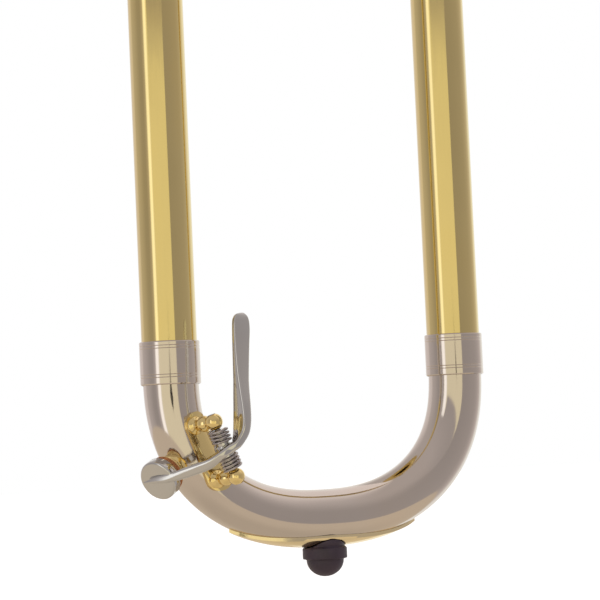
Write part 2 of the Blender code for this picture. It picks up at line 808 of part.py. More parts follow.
def make_water_key(bow_seat):
    """The saddle with its posts, the hinge screw, the lever with its cup, the cork and the spring."""
    hinge_axis = Vector((math.sin(hinge_lean), 0, -math.cos(hinge_lean)))
    across = Vector((math.cos(hinge_lean), 0, math.sin(hinge_lean)))
    outward = math.cos(hinge_turn) * Vector((0, -1, 0)) + math.sin(hinge_turn) * across
    turn = frame_turn(outward, hinge_axis)
    fixed = new_empty("water_key_post_frame", hinge_from_springline, outer_slide, turn)
    moving = new_empty("water_key_hinge", hinge_from_springline, outer_slide, turn)

    saddle = swept("water_key_saddle", bow_route(math.radians(4), math.radians(62), 10),
                   outer_tube_r + seat_gap + saddle_wall, gold, outer_slide, sides=16)
    end_r = saddle_width / 2
    half = saddle_length / 2 - end_r
    outline = link_outline((0, -half), end_r, (0, half), end_r, 4)
    blank = flat_plate("saddle_outline", outline, 12.0 * mm, None, fixed,
                       (-post_length, saddle_offset, 0), (math.pi / 2, 0, math.pi / 2))
    boolean(saddle, blank, "INTERSECT")
    cut(saddle, bow_seat)
    for sign in (-1, 1):
        profile = [
            (0, post_ball_r),
            (post_ball_r * 0.6, post_ball_r * 0.8),
            (post_ball_r, post_ball_r * 0.15),
            (post_ball_r * 0.95, -post_ball_r * 0.4),
            (post_neck_r, -post_ball_r * 1.05),
            (post_neck_r, -post_ball_r * 1.3),
            (post_bulb_r, -post_ball_r * 1.3 - post_bulb_r * 0.6),
            (post_bulb_r, -post_ball_r * 1.3 - post_bulb_r * 1.2),
            (post_neck_r, -post_ball_r * 1.3 - post_bulb_r * 1.8),
            (post_neck_r, -post_length + 1.4 * mm),
            (post_collar_r, -post_length + 1.0 * mm),
            (post_collar_r, -post_length),
            (0, -post_length),
        ]
        post = turned(f"post_shape_{'upper' if sign < 0 else 'lower'}", profile, None, fixed,
                      (0, 0, sign * post_spacing / 2), along_x, sides=10, ring=False)
        join(saddle, post)
    pin_hole = plug("hinge_hole", hinge_pin_r + seat_gap, post_spacing, -post_spacing, fixed, sides=12)
    cut(saddle, pin_hole)

    pin_half = post_spacing / 2 + post_ball_r - 0.2 * mm
    profile = [(0, pin_half), (hinge_pin_r, pin_half), (hinge_pin_r, -pin_half), (0, -pin_half)]
    turned("water_key_screw", profile, steel, fixed, sides=10, ring=False)

    lever = lever_blank("water_key_lever", moving)
    barrel = plug("lever_barrel", lever_barrel_r, lever_barrel_half, -lever_barrel_half, moving, sides=12)
    sleeve = plug("lever_sleeve", lever_sleeve_r, lever_sleeve_half, -lever_sleeve_half, moving, sides=12)
    sleeve_hole = plug("lever_hole", hinge_pin_r + seat_gap, post_spacing, -post_spacing, moving, sides=12)

    out = bow_normal(nipple_along_bow, nipple_round_bow)
    seat = bow_point(nipple_along_bow)
    to_hinge = turn.transposed()
    cup_place = to_hinge @ (seat - hinge_from_springline)
    cup_turn = (to_hinge @ out).to_track_quat("Z", "Y").to_euler()
    cork_foot = outer_tube_r + nipple_height + seat_gap
    cork_top = cork_foot + cork_height
    cup_foot = cork_top + seat_gap - cup_cavity
    profile = [
        (0, cup_foot + cup_height),
        (cup_r - 0.5 * mm, cup_foot + cup_height),
        (cup_r, cup_foot + cup_height - 0.6 * mm),
        (cup_r, cup_foot),
        (cork_r + seat_gap, cup_foot),
        (cork_r + seat_gap, cork_top + seat_gap),
        (0, cork_top + seat_gap),
    ]
    cup = turned("cup_shape", profile, None, moving, cup_place, cup_turn, sides=16, ring=False)
    join(lever, barrel, sleeve, cup)
    cut(lever, sleeve_hole)
    profile = [(0, cork_top), (cork_r, cork_top), (cork_r, cork_foot), (0, cork_foot)]
    turned("water_key_cork", profile, cork, moving, cup_place, cup_turn, sides=12, ring=False)
    make_spring(fixed)


def lever_blank(name, parent):
    """The water key's lever: a bar that runs from the cup over the hinge and up into its touch."""
    centres = [Vector(section[:3]) * mm for section in lever_sections]
    shape = bmesh.new()
    rings = []
    for index, section in enumerate(lever_sections):
        before = centres[max(index - 1, 0)]
        after = centres[min(index + 1, len(centres) - 1)]
        tangent = (after - before).normalized()
        side = Vector((1, 0, 0)).cross(tangent).normalized()
        depth = tangent.cross(side)
        half_width = section[3] * mm / 2
        half_depth = section[4] * mm / 2
        corner = 0.35 * min(half_width, half_depth)
        outline = [
            (half_width, -half_depth + corner), (half_width, half_depth - corner),
            (half_width - corner, half_depth), (-half_width + corner, half_depth),
            (-half_width, half_depth - corner), (-half_width, -half_depth + corner),
            (-half_width + corner, -half_depth), (half_width - corner, -half_depth),
        ]
        rings.append([shape.verts.new(centres[index] + side * a + depth * b) for a, b in outline])
    for first, second in zip(rings, rings[1:]):
        for corner in range(8):
            nearby = (corner + 1) % 8
            shape.faces.new((first[corner], first[nearby], second[nearby], second[corner]))
    shape.faces.new(list(reversed(rings[0])))
    shape.faces.new(rings[-1])
    bmesh.ops.recalc_face_normals(shape, faces=shape.faces)
    mesh = bpy.data.meshes.new(name)
    shape.to_mesh(mesh)
    shape.free()
    return add_object(name, mesh, nickel, parent)


def make_spring(parent):
    """One wire: a leg, a coil, a bridge over the barrel, a second coil and a leg."""
    per_turn = spring_points_per_turn
    count = spring_turns * per_turn
    coil = []
    for step in range(count + 1):
        angle = math.pi + math.tau * step / per_turn
        height = spring_first_coil + spring_pitch * step / per_turn
        coil.append(Vector((spring_coil_r * math.cos(angle), spring_coil_r * math.sin(angle), height)))
    end = coil[-1]
    leg = [end + Vector((-0.3 * mm, -1.3 * mm, 0.15 * mm)), end + Vector((-1.0 * mm, -2.4 * mm, 0.2 * mm)),
           end + Vector((-spring_leg, -3.3 * mm, 0.2 * mm))]
    upper = coil + leg
    lower = [Vector((point.x, point.y, -point.z)) for point in upper]
    half_bridge = [Vector((-spring_bridge_r * 0.97, spring_bridge_r * 0.26, spring_first_coil * 0.7)),
                   Vector((-spring_bridge_r, spring_bridge_r * 0.35, spring_first_coil * 0.3))]
    bridge = half_bridge + [Vector((point.x, point.y, -point.z)) for point in reversed(half_bridge)]
    points = list(reversed(upper)) + bridge + lower
    swept("water_key_spring", points, spring_wire_r, steel, parent, sides=6)
    print("least gap of the water key spring to itself, mm:", round(least_gap(points) * 1000, 2))


def least_gap(points):
    """The least distance between wire surfaces that are more than half a turn apart along the wire."""
    apart = spring_points_per_turn // 2
    least = 1.0
    for first in range(len(points)):
        for second in range(first + apart, len(points)):
            least = min(least, (points[first] - points[second]).length)
    return least - 2 * spring_wire_r


def make_mouthpiece():
    """The mouthpiece and its receiver, which carries the leadpipe down inside the inner tube."""
    place = (half_spacing, 0, 0)
    shank_foot = receiver_top - shank_in_receiver
    socket_top_r = shank_tip_r + shank_taper * shank_in_receiver + seat_gap
    socket_foot_r = shank_tip_r + seat_gap
    tube_seat_top = receiver_foot + receiver_tube_seat + end_gap
    outer_foot = inner_seat_r + receiver_wall
    outer_top_r = socket_top_r + receiver_wall
    profile = [
        (outer_top_r, receiver_top),
        (outer_top_r, shank_foot),
        (outer_foot, tube_seat_top),
        (outer_foot, receiver_foot),
        (inner_seat_r, receiver_foot),
        (inner_seat_r, tube_seat_top),
        (leadpipe_r, tube_seat_top),
        (leadpipe_r, shank_foot - leadpipe_length),
        (leadpipe_r - leadpipe_wall, shank_foot - leadpipe_length),
        (leadpipe_r - leadpipe_wall, shank_foot - end_gap),
        (socket_foot_r, shank_foot - end_gap),
        (socket_top_r, receiver_top),
    ]
    turned("mouthpiece_receiver", profile, nickel, location=place)

    rim_top = mouthpiece_length
    cup_foot = rim_top - cup_depth
    rim_edge = 3.0 * mm
    profile = [
        (mouthpiece_rim_r - 2.4 * mm, rim_top),
        (mouthpiece_rim_r - 0.7 * mm, rim_top - 0.8 * mm),
        (mouthpiece_rim_r, rim_top - rim_edge),
        (mouthpiece_rim_r - 0.8 * mm, rim_top - 2 * rim_edge),
        (mouthpiece_rim_r - 3.4 * mm, rim_top - 4 * rim_edge),
        (mouthpiece_rim_r - 8.0 * mm, cup_foot + 6.0 * mm),
        (mouthpiece_rim_r - 11.8 * mm, cup_foot - 2.0 * mm),
        (shank_tip_r + shank_taper * shank_in_receiver * 1.3, shank_in_receiver + 12.0 * mm),
        (shank_tip_r + shank_taper * shank_in_receiver, shank_in_receiver),
        (shank_tip_r, 0),
        (shank_tip_r - 1.4 * mm, 0),
        (throat_r, cup_foot - 8.0 * mm),
        (throat_r, cup_foot - 2.0 * mm),
        (throat_r * 1.5, cup_foot + 1.5 * mm),
        (cup_mouth_r * 0.72, cup_foot + cup_depth * 0.36),
        (cup_mouth_r * 0.95, cup_foot + cup_depth * 0.72),
        (cup_mouth_r, rim_top - 1.6 * mm),
        (cup_mouth_r + 1.0 * mm, rim_top),
    ]
    axis = new_empty("mouthpiece_axis", (half_spacing, 0, shank_foot))
    turned("mouthpiece", profile, silver, axis, sides=18)


def make_slide_joint():
    """The tenon on the hand slide, the lock nut round it and the bell section's receiver."""
    place = (-half_spacing, 0, 0)
    taper_foot = tenon_flange_at + tenon_flange_height
    tube_seat_top = tenon_foot + tenon_tube_seat + end_gap
    profile = [
        (tenon_taper_top_r, tenon_top),
        (tenon_taper_foot_r, taper_foot),
        (tenon_flange_r, taper_foot),
        (tenon_flange_r, tenon_flange_at),
        (tenon_neck_r, tenon_flange_at),
        (tenon_neck_r, tenon_foot),
        (inner_seat_r, tenon_foot),
        (inner_seat_r, tube_seat_top),
        (tenon_bore_r, tube_seat_top),
        (tenon_bore_r, tenon_top),
    ]
    turned("slide_tenon", profile, nickel, location=place)

    nut_r = lock_nut_bore_r + lock_nut_wall
    outline = []
    for rib in range(lock_nut_ribs):
        for share, radius in ((0.0, nut_r), (0.5, nut_r - lock_nut_rib_depth)):
            angle = math.tau * (rib + share) / lock_nut_ribs
            outline.append((radius * math.cos(angle), radius * math.sin(angle)))
    axis = new_empty("lock_nut_axis", (-half_spacing, 0, lock_nut_foot))
    nut = flat_plate("bell_lock_nut", outline, lock_nut_height, nickel, axis, (0, 0, lock_nut_height / 2))
    lip = tenon_flange_at - seat_gap - lock_nut_foot
    bore = plug("lock_nut_bore", lock_nut_bore_r, lock_nut_height + mm, lip, axis, sides=24)
    neck = plug("lock_nut_neck", tenon_neck_r + run_gap, lip + mm, -mm, axis)
    cut(nut, bore, neck)

    socket_top = tenon_top + end_gap
    foot_r = lock_nut_bore_r - run_gap
    profile = [
        (main_tube_r + seat_gap + slide_receiver_wall, slide_receiver_top),
        (foot_r - 0.9 * mm, lock_nut_foot + lock_nut_height + 8.0 * mm),
        (foot_r, lock_nut_foot + lock_nut_height + 2.0 * mm),
        (foot_r, slide_receiver_foot),
        (tenon_taper_foot_r + seat_gap, slide_receiver_foot),
        (tenon_taper_top_r + seat_gap, socket_top),
        (main_tube_r + seat_gap, socket_top),
        (main_tube_r + seat_gap, slide_receiver_top),
    ]
    turned("slide_receiver", profile, nickel, bell_section)


def make_main_line():
    """The gooseneck, the link between the valves and the leg to the tuning slide."""
    up = (0, 0, 1)
    x_axis = (1, 0, 0)
    eighth = math.radians(45)
    start = tenon_top + 3 * end_gap
    route = Route((0, 0, start), up)
    route.forward(first_valve_height - knuckle_rise - start)
    route.bend(-eighth, knuckle_bend_r, x_axis, 4)
    route.forward(port_run)
    swept("gooseneck", route.points, main_tube_r, brass, bell_section, wall=main_tube_wall)

    leaving = Vector((0, -knuckle_cos, knuckle_cos))
    route = Route(Vector((0, valve_offset, first_valve_height)) + leaving * port_tube_start, leaving)
    route.forward(port_run)
    route.bend(-eighth, knuckle_bend_r, x_axis, 4)
    route.forward(second_valve_height - first_valve_height - 2 * knuckle_rise)
    route.bend(-eighth, knuckle_bend_r, x_axis, 4)
    route.forward(port_run)
    swept("valve_link_tube", route.points, main_tube_r, brass, bell_section, wall=main_tube_wall)

    route = Route(Vector((0, valve_offset, second_valve_height)) + leaving * port_tube_start, leaving)
    route.forward(port_run)
    route.bend(-eighth, knuckle_bend_r, x_axis, 4)
    route.forward(main_leg_top - second_valve_height - knuckle_rise)
    swept("main_leg_tube", route.points, main_tube_r, brass, bell_section, wall=main_tube_wall)


def make_main_tuning_slide():
    """The two fixed sleeves and the crook that slides in them."""
    narrow_bore = narrow_leg_r + run_gap
    wide_bore = wide_leg_r + run_gap
    tube_ring("narrow_slide_sleeve", narrow_bore + sleeve_tube_wall, narrow_bore, main_sleeve_top,
              narrow_sleeve_foot, nickel, bell_section)
    tube_ring("wide_slide_sleeve", wide_bore + sleeve_tube_wall, wide_bore, main_sleeve_top,
              wide_sleeve_foot, nickel, bell_section, (0, bell_offset, 0))
    crook("main_tuning_crook", 0.0, 0.0, bell_offset, main_sleeve_top, main_leg_length,
          (narrow_leg_r, narrow_crook_r), (wide_leg_r, wide_crook_r), 8, 12)


def crook(name, plane, near, far, sleeve_end, leg_length, near_radii, far_radii, steps, sides):
    """A U-shaped crook whose two legs go down into sleeves."""
    base_r = near_radii[1]
    bend_r = (far - near) / 2
    bend_foot = sleeve_end + end_gap + crook_step + crook_ferrule
    places = []
    factors = []
    for height, radius in ((sleeve_end - leg_length, near_radii[0]), (sleeve_end + end_gap, near_radii[0]),
                           (sleeve_end + end_gap + crook_step, near_radii[1])):
        places.append(Vector((plane, near, height)))
        factors.append(radius / base_r)
    for step in range(steps + 1):
        angle = math.pi * step / steps
        places.append(Vector((plane, near + bend_r * (1 - math.cos(angle)), bend_foot + bend_r * math.sin(angle))))
        radius = near_radii[1] + (far_radii[1] - near_radii[1]) * step / steps
        factors.append(radius / base_r)
    for height, radius in ((sleeve_end + end_gap + crook_step, far_radii[1]),
                           (sleeve_end + end_gap, far_radii[0]), (sleeve_end - leg_length, far_radii[0])):
        places.append(Vector((plane, far, height)))
        factors.append(radius / base_r)
    axis = new_empty(f"{name}_axis", (0, 0, 0), bell_section)
    return swept(name, places, base_r, brass, axis, sides, main_tube_wall, factors)


def bell_outline():
    """The bell's outer profile from its tail down to its rim, as (radius, height) vectors."""
    span = bell_tail_top - bell_rim_height
    outline = []
    for step in range(bell_steps + 1):
        height = bell_rim_height + span * (1 - step / bell_steps) ** 2.2
        outline.append(Vector((bell_radius(height), height)))
    return outline


def make_bell():
    """The bell with its rolled rim and tail."""
    outside = bell_outline()
    steps = bell_steps
    inside = []
    for index, point in enumerate(outside):
        before = outside[max(index - 1, 0)]
        after = outside[min(index + 1, steps)]
        along = (after - before).normalized()
        inside.append(point + Vector((along.y, -along.x)) * bell_wall)
    bead = [Vector((bell_rim_r + 0.3 * mm, bell_rim_height + 1.2 * mm)),
            Vector((bell_rim_r + 0.9 * mm, bell_rim_height - 0.2 * mm)),
            Vector((bell_rim_r + 0.3 * mm, bell_rim_height - bell_bead_r)),
            Vector((bell_rim_r - 1.4 * mm, bell_rim_height - bell_bead_r)),
            Vector((bell_rim_r - bell_bead_r - 0.6 * mm, bell_rim_height - bell_wall))]
    profile = outside[:-1] + bead + list(reversed(inside[:-2]))
    turned("bell", [(point.x, point.y) for point in profile], brass, bell_section,
           (0, bell_offset, 0), sides=26)


def make_valve(tag, height, rod_plane):
    """One rotary valve: casing, rotor, cap, bearing plate with stop pins and stop arm."""
    centre = Vector((0, valve_offset, height))
    diagonals = (math.radians(-45), math.radians(45))
    casing = turned(f"{tag}_casing",
                    [(0, casing_half), (casing_r, casing_half), (casing_r, -casing_half), (0, -casing_half)],
                    brass, bell_section, centre, along_x, sides=16, ring=False)
    socket_r = socket_bore_r + port_socket_wall
    for index, lean in enumerate(diagonals):
        for end, sign in (("top", 1), ("foot", -1)):
            near, far = sorted((sign * rotor_r * 0.75, sign * port_socket_end))
            lug = plug(f"{tag}_socket_{index}_{end}", socket_r, far, near, bell_section, centre,
                       (lean, 0, 0), sides=12)
            join(casing, lug)
    bore = plug(f"{tag}_bore", casing_bore_r, casing_half + mm, -casing_half - mm, bell_section, centre,
                along_x, sides=22)
    cut(casing, bore)
    step_at = port_tube_start - end_gap
    for index, lean in enumerate((math.radians(-45), math.radians(45), math.radians(135), math.radians(225))):
        profile = [
            (0, port_socket_end + mm), (socket_bore_r, port_socket_end + mm), (socket_bore_r, step_at),
            (port_bore_r, step_at), (port_bore_r, rotor_r * 0.75), (0, rotor_r * 0.75),
        ]
        way = turned(f"{tag}_way_{index}", profile, None, bell_section, centre, (lean, 0, 0), sides=14, ring=False)
        cut(casing, way)

    axis = new_empty(f"{tag}_rotor_axis", centre, bell_section)
    axle_end = stop_arm_inner + stop_arm_thickness - end_gap
    cap_inner = rotor_half + run_gap
    cap_bore_end = casing_half + cap_thickness / 2
    profile = [
        (0, cap_bore_end - end_gap), (rotor_axle_r, cap_bore_end - end_gap), (rotor_axle_r, rotor_half),
        (rotor_r, rotor_half), (rotor_r, -rotor_half), (rotor_axle_r, -rotor_half),
        (rotor_axle_r, -axle_end), (0, -axle_end),
    ]
    rotor = turned(f"{tag}_rotor", profile, nickel, axis, turn=along_x, sides=20, ring=False)
    passage_r = rotor_r * math.tan(math.radians(45))
    passage_centre = rotor_r / knuckle_cos
    for sign in (-1, 1):
        points = []
        for step in range(-3, 4):
            angle = math.radians(19.0 * step)
            points.append(Vector((0, sign * (passage_centre - passage_r * math.cos(angle)),
                                  passage_r * math.sin(angle))))
        way = swept(f"{tag}_passage_{'near' if sign < 0 else 'far'}", points, port_bore_r, None, axis, sides=10)
        cut(rotor, way)

    profile = [
        (0, casing_half + cap_thickness), (casing_r - 3.0 * mm, casing_half + cap_thickness),
        (casing_r, casing_half + cap_thickness - 1.4 * mm), (casing_r, casing_half + seat_gap),
        (rotor_r - seat_gap, casing_half + seat_gap), (rotor_r - seat_gap, cap_inner),
        (rotor_axle_r + seat_gap, cap_inner), (rotor_axle_r + seat_gap, cap_bore_end), (0, cap_bore_end),
    ]
    turned(f"{tag}_cap", profile, nickel, bell_section, centre, along_x, sides=20, ring=False)

    plate_inner = rotor_half + run_gap
    plate_outer = plate_inner + plate_thickness
    profile = [
        (rotor_r - seat_gap, -plate_inner), (rotor_r - seat_gap, -plate_outer),
        (rotor_axle_r + seat_gap, -plate_outer), (rotor_axle_r + seat_gap, -plate_inner),
    ]
    plate = turned(f"{tag}_bearing_plate", profile, nickel, bell_section, centre, along_x, sides=16)
    finger_half = math.asin(stop_arm_width / 2 / stop_pin_radius)
    pin_half = math.asin(stop_pin_r / stop_pin_radius)
    beyond = finger_half + pin_half + stop_pin_gap
    first = math.pi - rotor_throw / 2 - beyond
    last = math.pi + rotor_throw / 2 + beyond
    for name, angle in (("first", first), ("last", last)):
        pin = plug(f"{tag}_stop_pin_{name}", stop_pin_r, stop_arm_inner + stop_arm_thickness,
                   plate_outer - 1.0 * mm, bell_section,
                   centre + Vector((0, stop_pin_radius * math.cos(angle), stop_pin_radius * math.sin(angle))),
                   (0, -math.pi / 2, 0), sides=8)
        join(plate, pin)

    rest = -rotor_throw / 2
    ball = Vector((0, crank_r * math.cos(rest), crank_r * math.sin(rest)))
    finger = -ball.normalized() * stop_finger_reach
    middle = -(stop_arm_inner + stop_arm_thickness / 2)
    arm = link_plate(f"{tag}_stop_arm", nickel, axis, middle, stop_arm_thickness, ball, 2.6 * mm,
                     finger, stop_arm_width / 2)
    hub = plug(f"{tag}_stop_hub", stop_arm_hub_r, stop_arm_inner + stop_arm_thickness + mm,
               stop_arm_inner, axis, turn=(0, -math.pi / 2, 0), sides=12)
    hole = plug(f"{tag}_stop_hole", rotor_axle_r + seat_gap, stop_arm_inner + stop_arm_thickness,
                stop_arm_inner - mm, axis, turn=(0, -math.pi / 2, 0), sides=12)
    neck = plug(f"{tag}_crank_neck", crank_neck_r, -rod_plane, stop_arm_inner + stop_arm_thickness / 2, axis, ball,
                (0, -math.pi / 2, 0), sides=8)
    knob_profile = [
        (crank_ball_r * math.sin(math.pi * step / 5), crank_ball_r * math.cos(math.pi * step / 5))
        for step in range(6)
    ]
    knob = turned(f"{tag}_crank_ball", knob_profile, None, axis, ball + Vector((rod_plane, 0, 0)), along_x,
                  sides=10, ring=False)
    join(arm, hub, neck, knob)
    cut(arm, hole)


def link_plate(name, material, parent, plane, thickness, start, start_r, end, end_r):
    """A flat link in a plane square to X, between two points given as (0, y, z)."""
    outline = link_outline((start.y, start.z), start_r, (end.y, end.z), end_r)
    return flat_plate(name, outline, thickness, material, parent, (plane, 0, 0), (math.pi / 2, 0, math.pi / 2))


def make_linkage(tag, height, rod_plane, paddle_shift):
    """A thumb lever and the rod that joins it to the stop arm through an open ball joint."""
    pivot = new_empty(f"{tag}_lever_axis", (0, pivot_offset, pivot_height), bell_section)
    plate_middle = rod_plane + rod_eye_width / 2 + end_gap + lever_plate / 2
    pin_end = rod_plane - rod_eye_width / 2 - end_gap
    low = -thumb_half_angle
    rod_pin = Vector((0, thumb_arm * math.cos(low), thumb_arm * math.sin(low)))
    touch = Vector((0, -thumb_reach, thumb_rise))
    origin = Vector((0, 0, 0))
    lever = link_plate(f"{tag}_thumb_lever", nickel, pivot, plate_middle, lever_plate, origin, lever_hub_r,
                       rod_pin, 2.4 * mm)
    back = link_plate(f"{tag}_lever_back", None, pivot, plate_middle, lever_plate * 0.96, origin, lever_hub_r * 0.9,
                      touch, 2.2 * mm)
    hub = plug(f"{tag}_lever_hub", lever_hub_r, plate_middle + 2.4 * mm, plate_middle - 2.4 * mm, pivot,
               turn=along_x, sides=12)
    pin = plug(f"{tag}_rod_pin", rod_pin_r, -pin_end, -plate_middle, pivot, rod_pin,
               (0, -math.pi / 2, 0), sides=8)
    lean = math.atan2(touch.z, -touch.y)
    paddle = box(f"{tag}_paddle", (paddle_width, paddle_length, paddle_thickness), pivot,
                 (plate_middle + paddle_shift, touch.y - paddle_length / 4, touch.z + paddle_length / 4 * math.tan(lean)),
                 (-lean, 0, 0))
    bevel = paddle.modifiers.new("Edge", "BEVEL")
    bevel.width = 0.8 * mm
    bevel.segments = 1
    hole = plug(f"{tag}_lever_hole", pivot_screw_r + seat_gap, plate_middle + 5 * mm, plate_middle - 5 * mm, pivot,
                turn=along_x, sides=12)
    join(lever, back, hub, pin, paddle)
    cut(lever, hole)

    ball_height = height - crank_swing
    foot = Vector((rod_plane, pivot_offset + rod_pin.y, pivot_height + rod_pin.z))
    axis = new_empty(f"{tag}_rod_axis", foot, bell_section)
    length = ball_height - foot.z
    ring_r = crank_ball_r + open_pivot_gap
    outer_ring_r = ring_r + rod_ring_wall
    eye_r = rod_pin_r + run_gap
    outer_eye_r = eye_r + rod_eye_wall
    rod = turned(f"{tag}_rod", [(0, length - ring_r - 0.6 * mm), (rod_r, length - ring_r - 0.6 * mm),
                                (rod_r, eye_r + 0.6 * mm), (0, eye_r + 0.6 * mm)], nickel, axis, sides=8, ring=False)
    ring = tube_ring(f"{tag}_rod_ring", outer_ring_r, ring_r, rod_ring_width / 2, -rod_ring_width / 2, None, axis,
                     (0, 0, length), along_x, sides=16)
    eye = tube_ring(f"{tag}_rod_eye", outer_eye_r, eye_r, rod_eye_width / 2, -rod_eye_width / 2, None, axis,
                    (0, 0, 0), along_x, sides=12)
    join(rod, ring, eye)


def make_lever_bracket():
    """The bracket on the gooseneck and the screw that both thumb levers turn on."""
    place = Vector((0, pivot_offset, pivot_height))
    first_hub = first_rod_plane + rod_eye_width / 2 + end_gap + lever_plate / 2 + 2.4 * mm
    boss_end = first_hub + end_gap
    inner = -(main_tube_r + seat_gap)
    foot = box("lever_bracket", (bracket_plate, 2 * bracket_half_width, 2 * bracket_half_height), bell_section,
               (inner - bracket_plate / 2 + 1.6 * mm, 0, pivot_height), material=nickel)
    boss = plug("bracket_boss", lever_hub_r, inner, boss_end, bell_section, place, along_x, sides=14)
    seat = plug("bracket_seat", main_tube_r + seat_gap, pivot_height + 20 * mm, pivot_height - 20 * mm,
                bell_section)
    screw_in = inner - 2.0 * mm
    hole = plug("bracket_hole", pivot_screw_r + seat_gap, screw_in, boss_end - mm, bell_section, place,
                along_x, sides=12)
    join(foot, boss)
    cut(foot, seat, hole)

    second_hub = second_rod_plane + rod_eye_width / 2 + end_gap + lever_plate / 2 - 2.4 * mm
    head_inner = second_hub - end_gap
    profile = [
        (0, screw_in - end_gap), (pivot_screw_r, screw_in - end_gap), (pivot_screw_r, head_inner),
        (lever_hub_r, head_inner), (lever_hub_r, head_inner - 1.6 * mm),
        (lever_hub_r - 0.8 * mm, head_inner - 2.4 * mm), (0, head_inner - 2.4 * mm),
    ]
    turned("lever_pivot_screw", profile, steel, bell_section, place, along_x, sides=12, ring=False)


def make_loop(tag, height, plane, top):
    """A valve's loop: two fixed tubes and the crook that slides in them."""
    x_axis = (1, 0, 0)
    eighth = math.radians(45)
    leaving_up = Vector((0, knuckle_cos, knuckle_cos))
    leaving_down = Vector((0, knuckle_cos, -knuckle_cos))
    centre = Vector((0, valve_offset, height))
    route = Route(centre + leaving_up * port_tube_start, leaving_up)
    route.forward(port_run)
    route.bend(eighth, loop_turn_r, x_axis, 5)
    near = route.place.y
    route.forward(12.0 * mm, 1)
    route.forward(top - route.place.z)
    points = shifted(route.points, plane, port_run, loop_shift_run)
    swept(f"{tag}_loop_upper_tube", points, loop_tube_r, brass, bell_section, loop_sides, loop_tube_wall)

    route = Route(centre + leaving_down * port_tube_start, leaving_down)
    route.forward(port_run)
    route.bend(-eighth, loop_turn_r, x_axis, 5)
    route.forward(12.0 * mm, 1)
    route.bend(math.pi, loop_leg_gap / 2, x_axis, 6)
    route.forward(top - route.place.z)
    points = shifted(route.points, plane, port_run, loop_shift_run)
    swept(f"{tag}_loop_lower_tube", points, loop_tube_r, brass, bell_section, loop_sides, loop_tube_wall)

    leg_r = loop_tube_r * math.cos(math.pi / loop_sides) - loop_tube_wall - run_gap
    crook(f"{tag}_tuning_crook", plane, near, near + loop_leg_gap, top, loop_leg_length,
          (leg_r, loop_tube_r), (leg_r, loop_tube_r), 6, loop_sides)


def make_bell_braces():
    """The two braces between the main line and the bell."""
    for name, height, near_r, far_r in (
        ("front_bell_brace", front_brace_height, main_tube_r, None),
        ("rear_bell_brace", rear_brace_height, narrow_leg_r + run_gap + sleeve_tube_wall,
         wide_leg_r + run_gap + sleeve_tube_wall),
    ):
        reach = bell_offset - (far_r or bell_radius(height))
        profile = [
            (0, reach + 3.0 * mm), (bell_brace_flange_r, reach + 3.0 * mm),
            (bell_brace_flange_r, reach - 2.0 * mm), (bell_brace_bar_r, reach - bell_brace_flange_length),
            (bell_brace_bar_r, near_r + bell_brace_flange_length), (bell_brace_flange_r, near_r + 2.0 * mm),
            (bell_brace_flange_r, near_r - 3.0 * mm), (0, near_r - 3.0 * mm),
        ]
        brace = turned(name, profile, nickel, bell_section, (0, 0, height), along_y, sides=16, ring=False)
        near_seat = plug(f"{name}_near_seat", near_r + seat_gap, 20 * mm, -20 * mm, bell_section, (0, 0, height))
        if far_r is None:
            profile = [(point.x + seat_gap, point.y) for point in bell_outline()]
            profile = [(0, profile[0][1])] + profile + [(0, profile[-1][1])]
            far_seat = turned(f"{name}_far_seat", profile, None, bell_section, (0, bell_offset, 0),
                              sides=26, ring=False)
        else:
            far_seat = plug(f"{name}_far_seat", far_r + seat_gap, 20 * mm, -20 * mm, bell_section,
                            (0, bell_offset, height))
        cut(brace, near_seat, far_seat)


make_inner_slide()
make_lock_ring()
make_outer_slide()
bow_seat_cutter = make_bow()
make_water_key(bow_seat_cutter)
make_mouthpiece()
make_slide_joint()
make_main_line()
make_main_tuning_slide()
make_bell()
for valve_tag, valve_height, rod_x, paddle_x, loop_x, loop_top in (
    ("first_valve", first_valve_height, first_rod_plane, paddle_spread, first_loop_plane, first_loop_top),
    ("second_valve", second_valve_height, second_rod_plane, -paddle_spread, second_loop_plane, second_loop_top),
):
    make_valve(valve_tag, valve_height, rod_x)
    make_linkage(valve_tag, valve_height, rod_x, paddle_x)
    make_loop(valve_tag, valve_height, loop_x, loop_top)
make_lever_bracket()
make_bell_braces()
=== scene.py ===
"""A bass trombone, dressed over its packed solids and seen from close by at the end of its hand slide."""
import json
import math

import bpy
from mathutils import Matrix, Vector

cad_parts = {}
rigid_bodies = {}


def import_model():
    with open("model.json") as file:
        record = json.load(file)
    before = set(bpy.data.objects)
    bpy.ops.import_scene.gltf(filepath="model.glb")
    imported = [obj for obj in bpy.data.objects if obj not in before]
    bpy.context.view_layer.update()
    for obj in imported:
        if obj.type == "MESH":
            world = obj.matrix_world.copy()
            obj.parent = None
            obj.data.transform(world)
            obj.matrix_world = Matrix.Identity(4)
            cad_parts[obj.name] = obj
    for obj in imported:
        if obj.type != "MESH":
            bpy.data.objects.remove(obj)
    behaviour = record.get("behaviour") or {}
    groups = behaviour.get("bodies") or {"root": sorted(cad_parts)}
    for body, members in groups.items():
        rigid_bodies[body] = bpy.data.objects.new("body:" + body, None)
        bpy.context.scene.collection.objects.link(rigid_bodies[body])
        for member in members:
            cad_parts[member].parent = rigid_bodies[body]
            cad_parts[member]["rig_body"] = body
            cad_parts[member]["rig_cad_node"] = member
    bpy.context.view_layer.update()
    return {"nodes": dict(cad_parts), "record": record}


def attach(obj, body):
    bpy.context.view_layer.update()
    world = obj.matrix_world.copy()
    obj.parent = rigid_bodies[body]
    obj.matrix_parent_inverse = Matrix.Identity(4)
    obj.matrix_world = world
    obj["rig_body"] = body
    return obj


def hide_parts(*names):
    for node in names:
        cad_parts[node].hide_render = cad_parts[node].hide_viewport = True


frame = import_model()

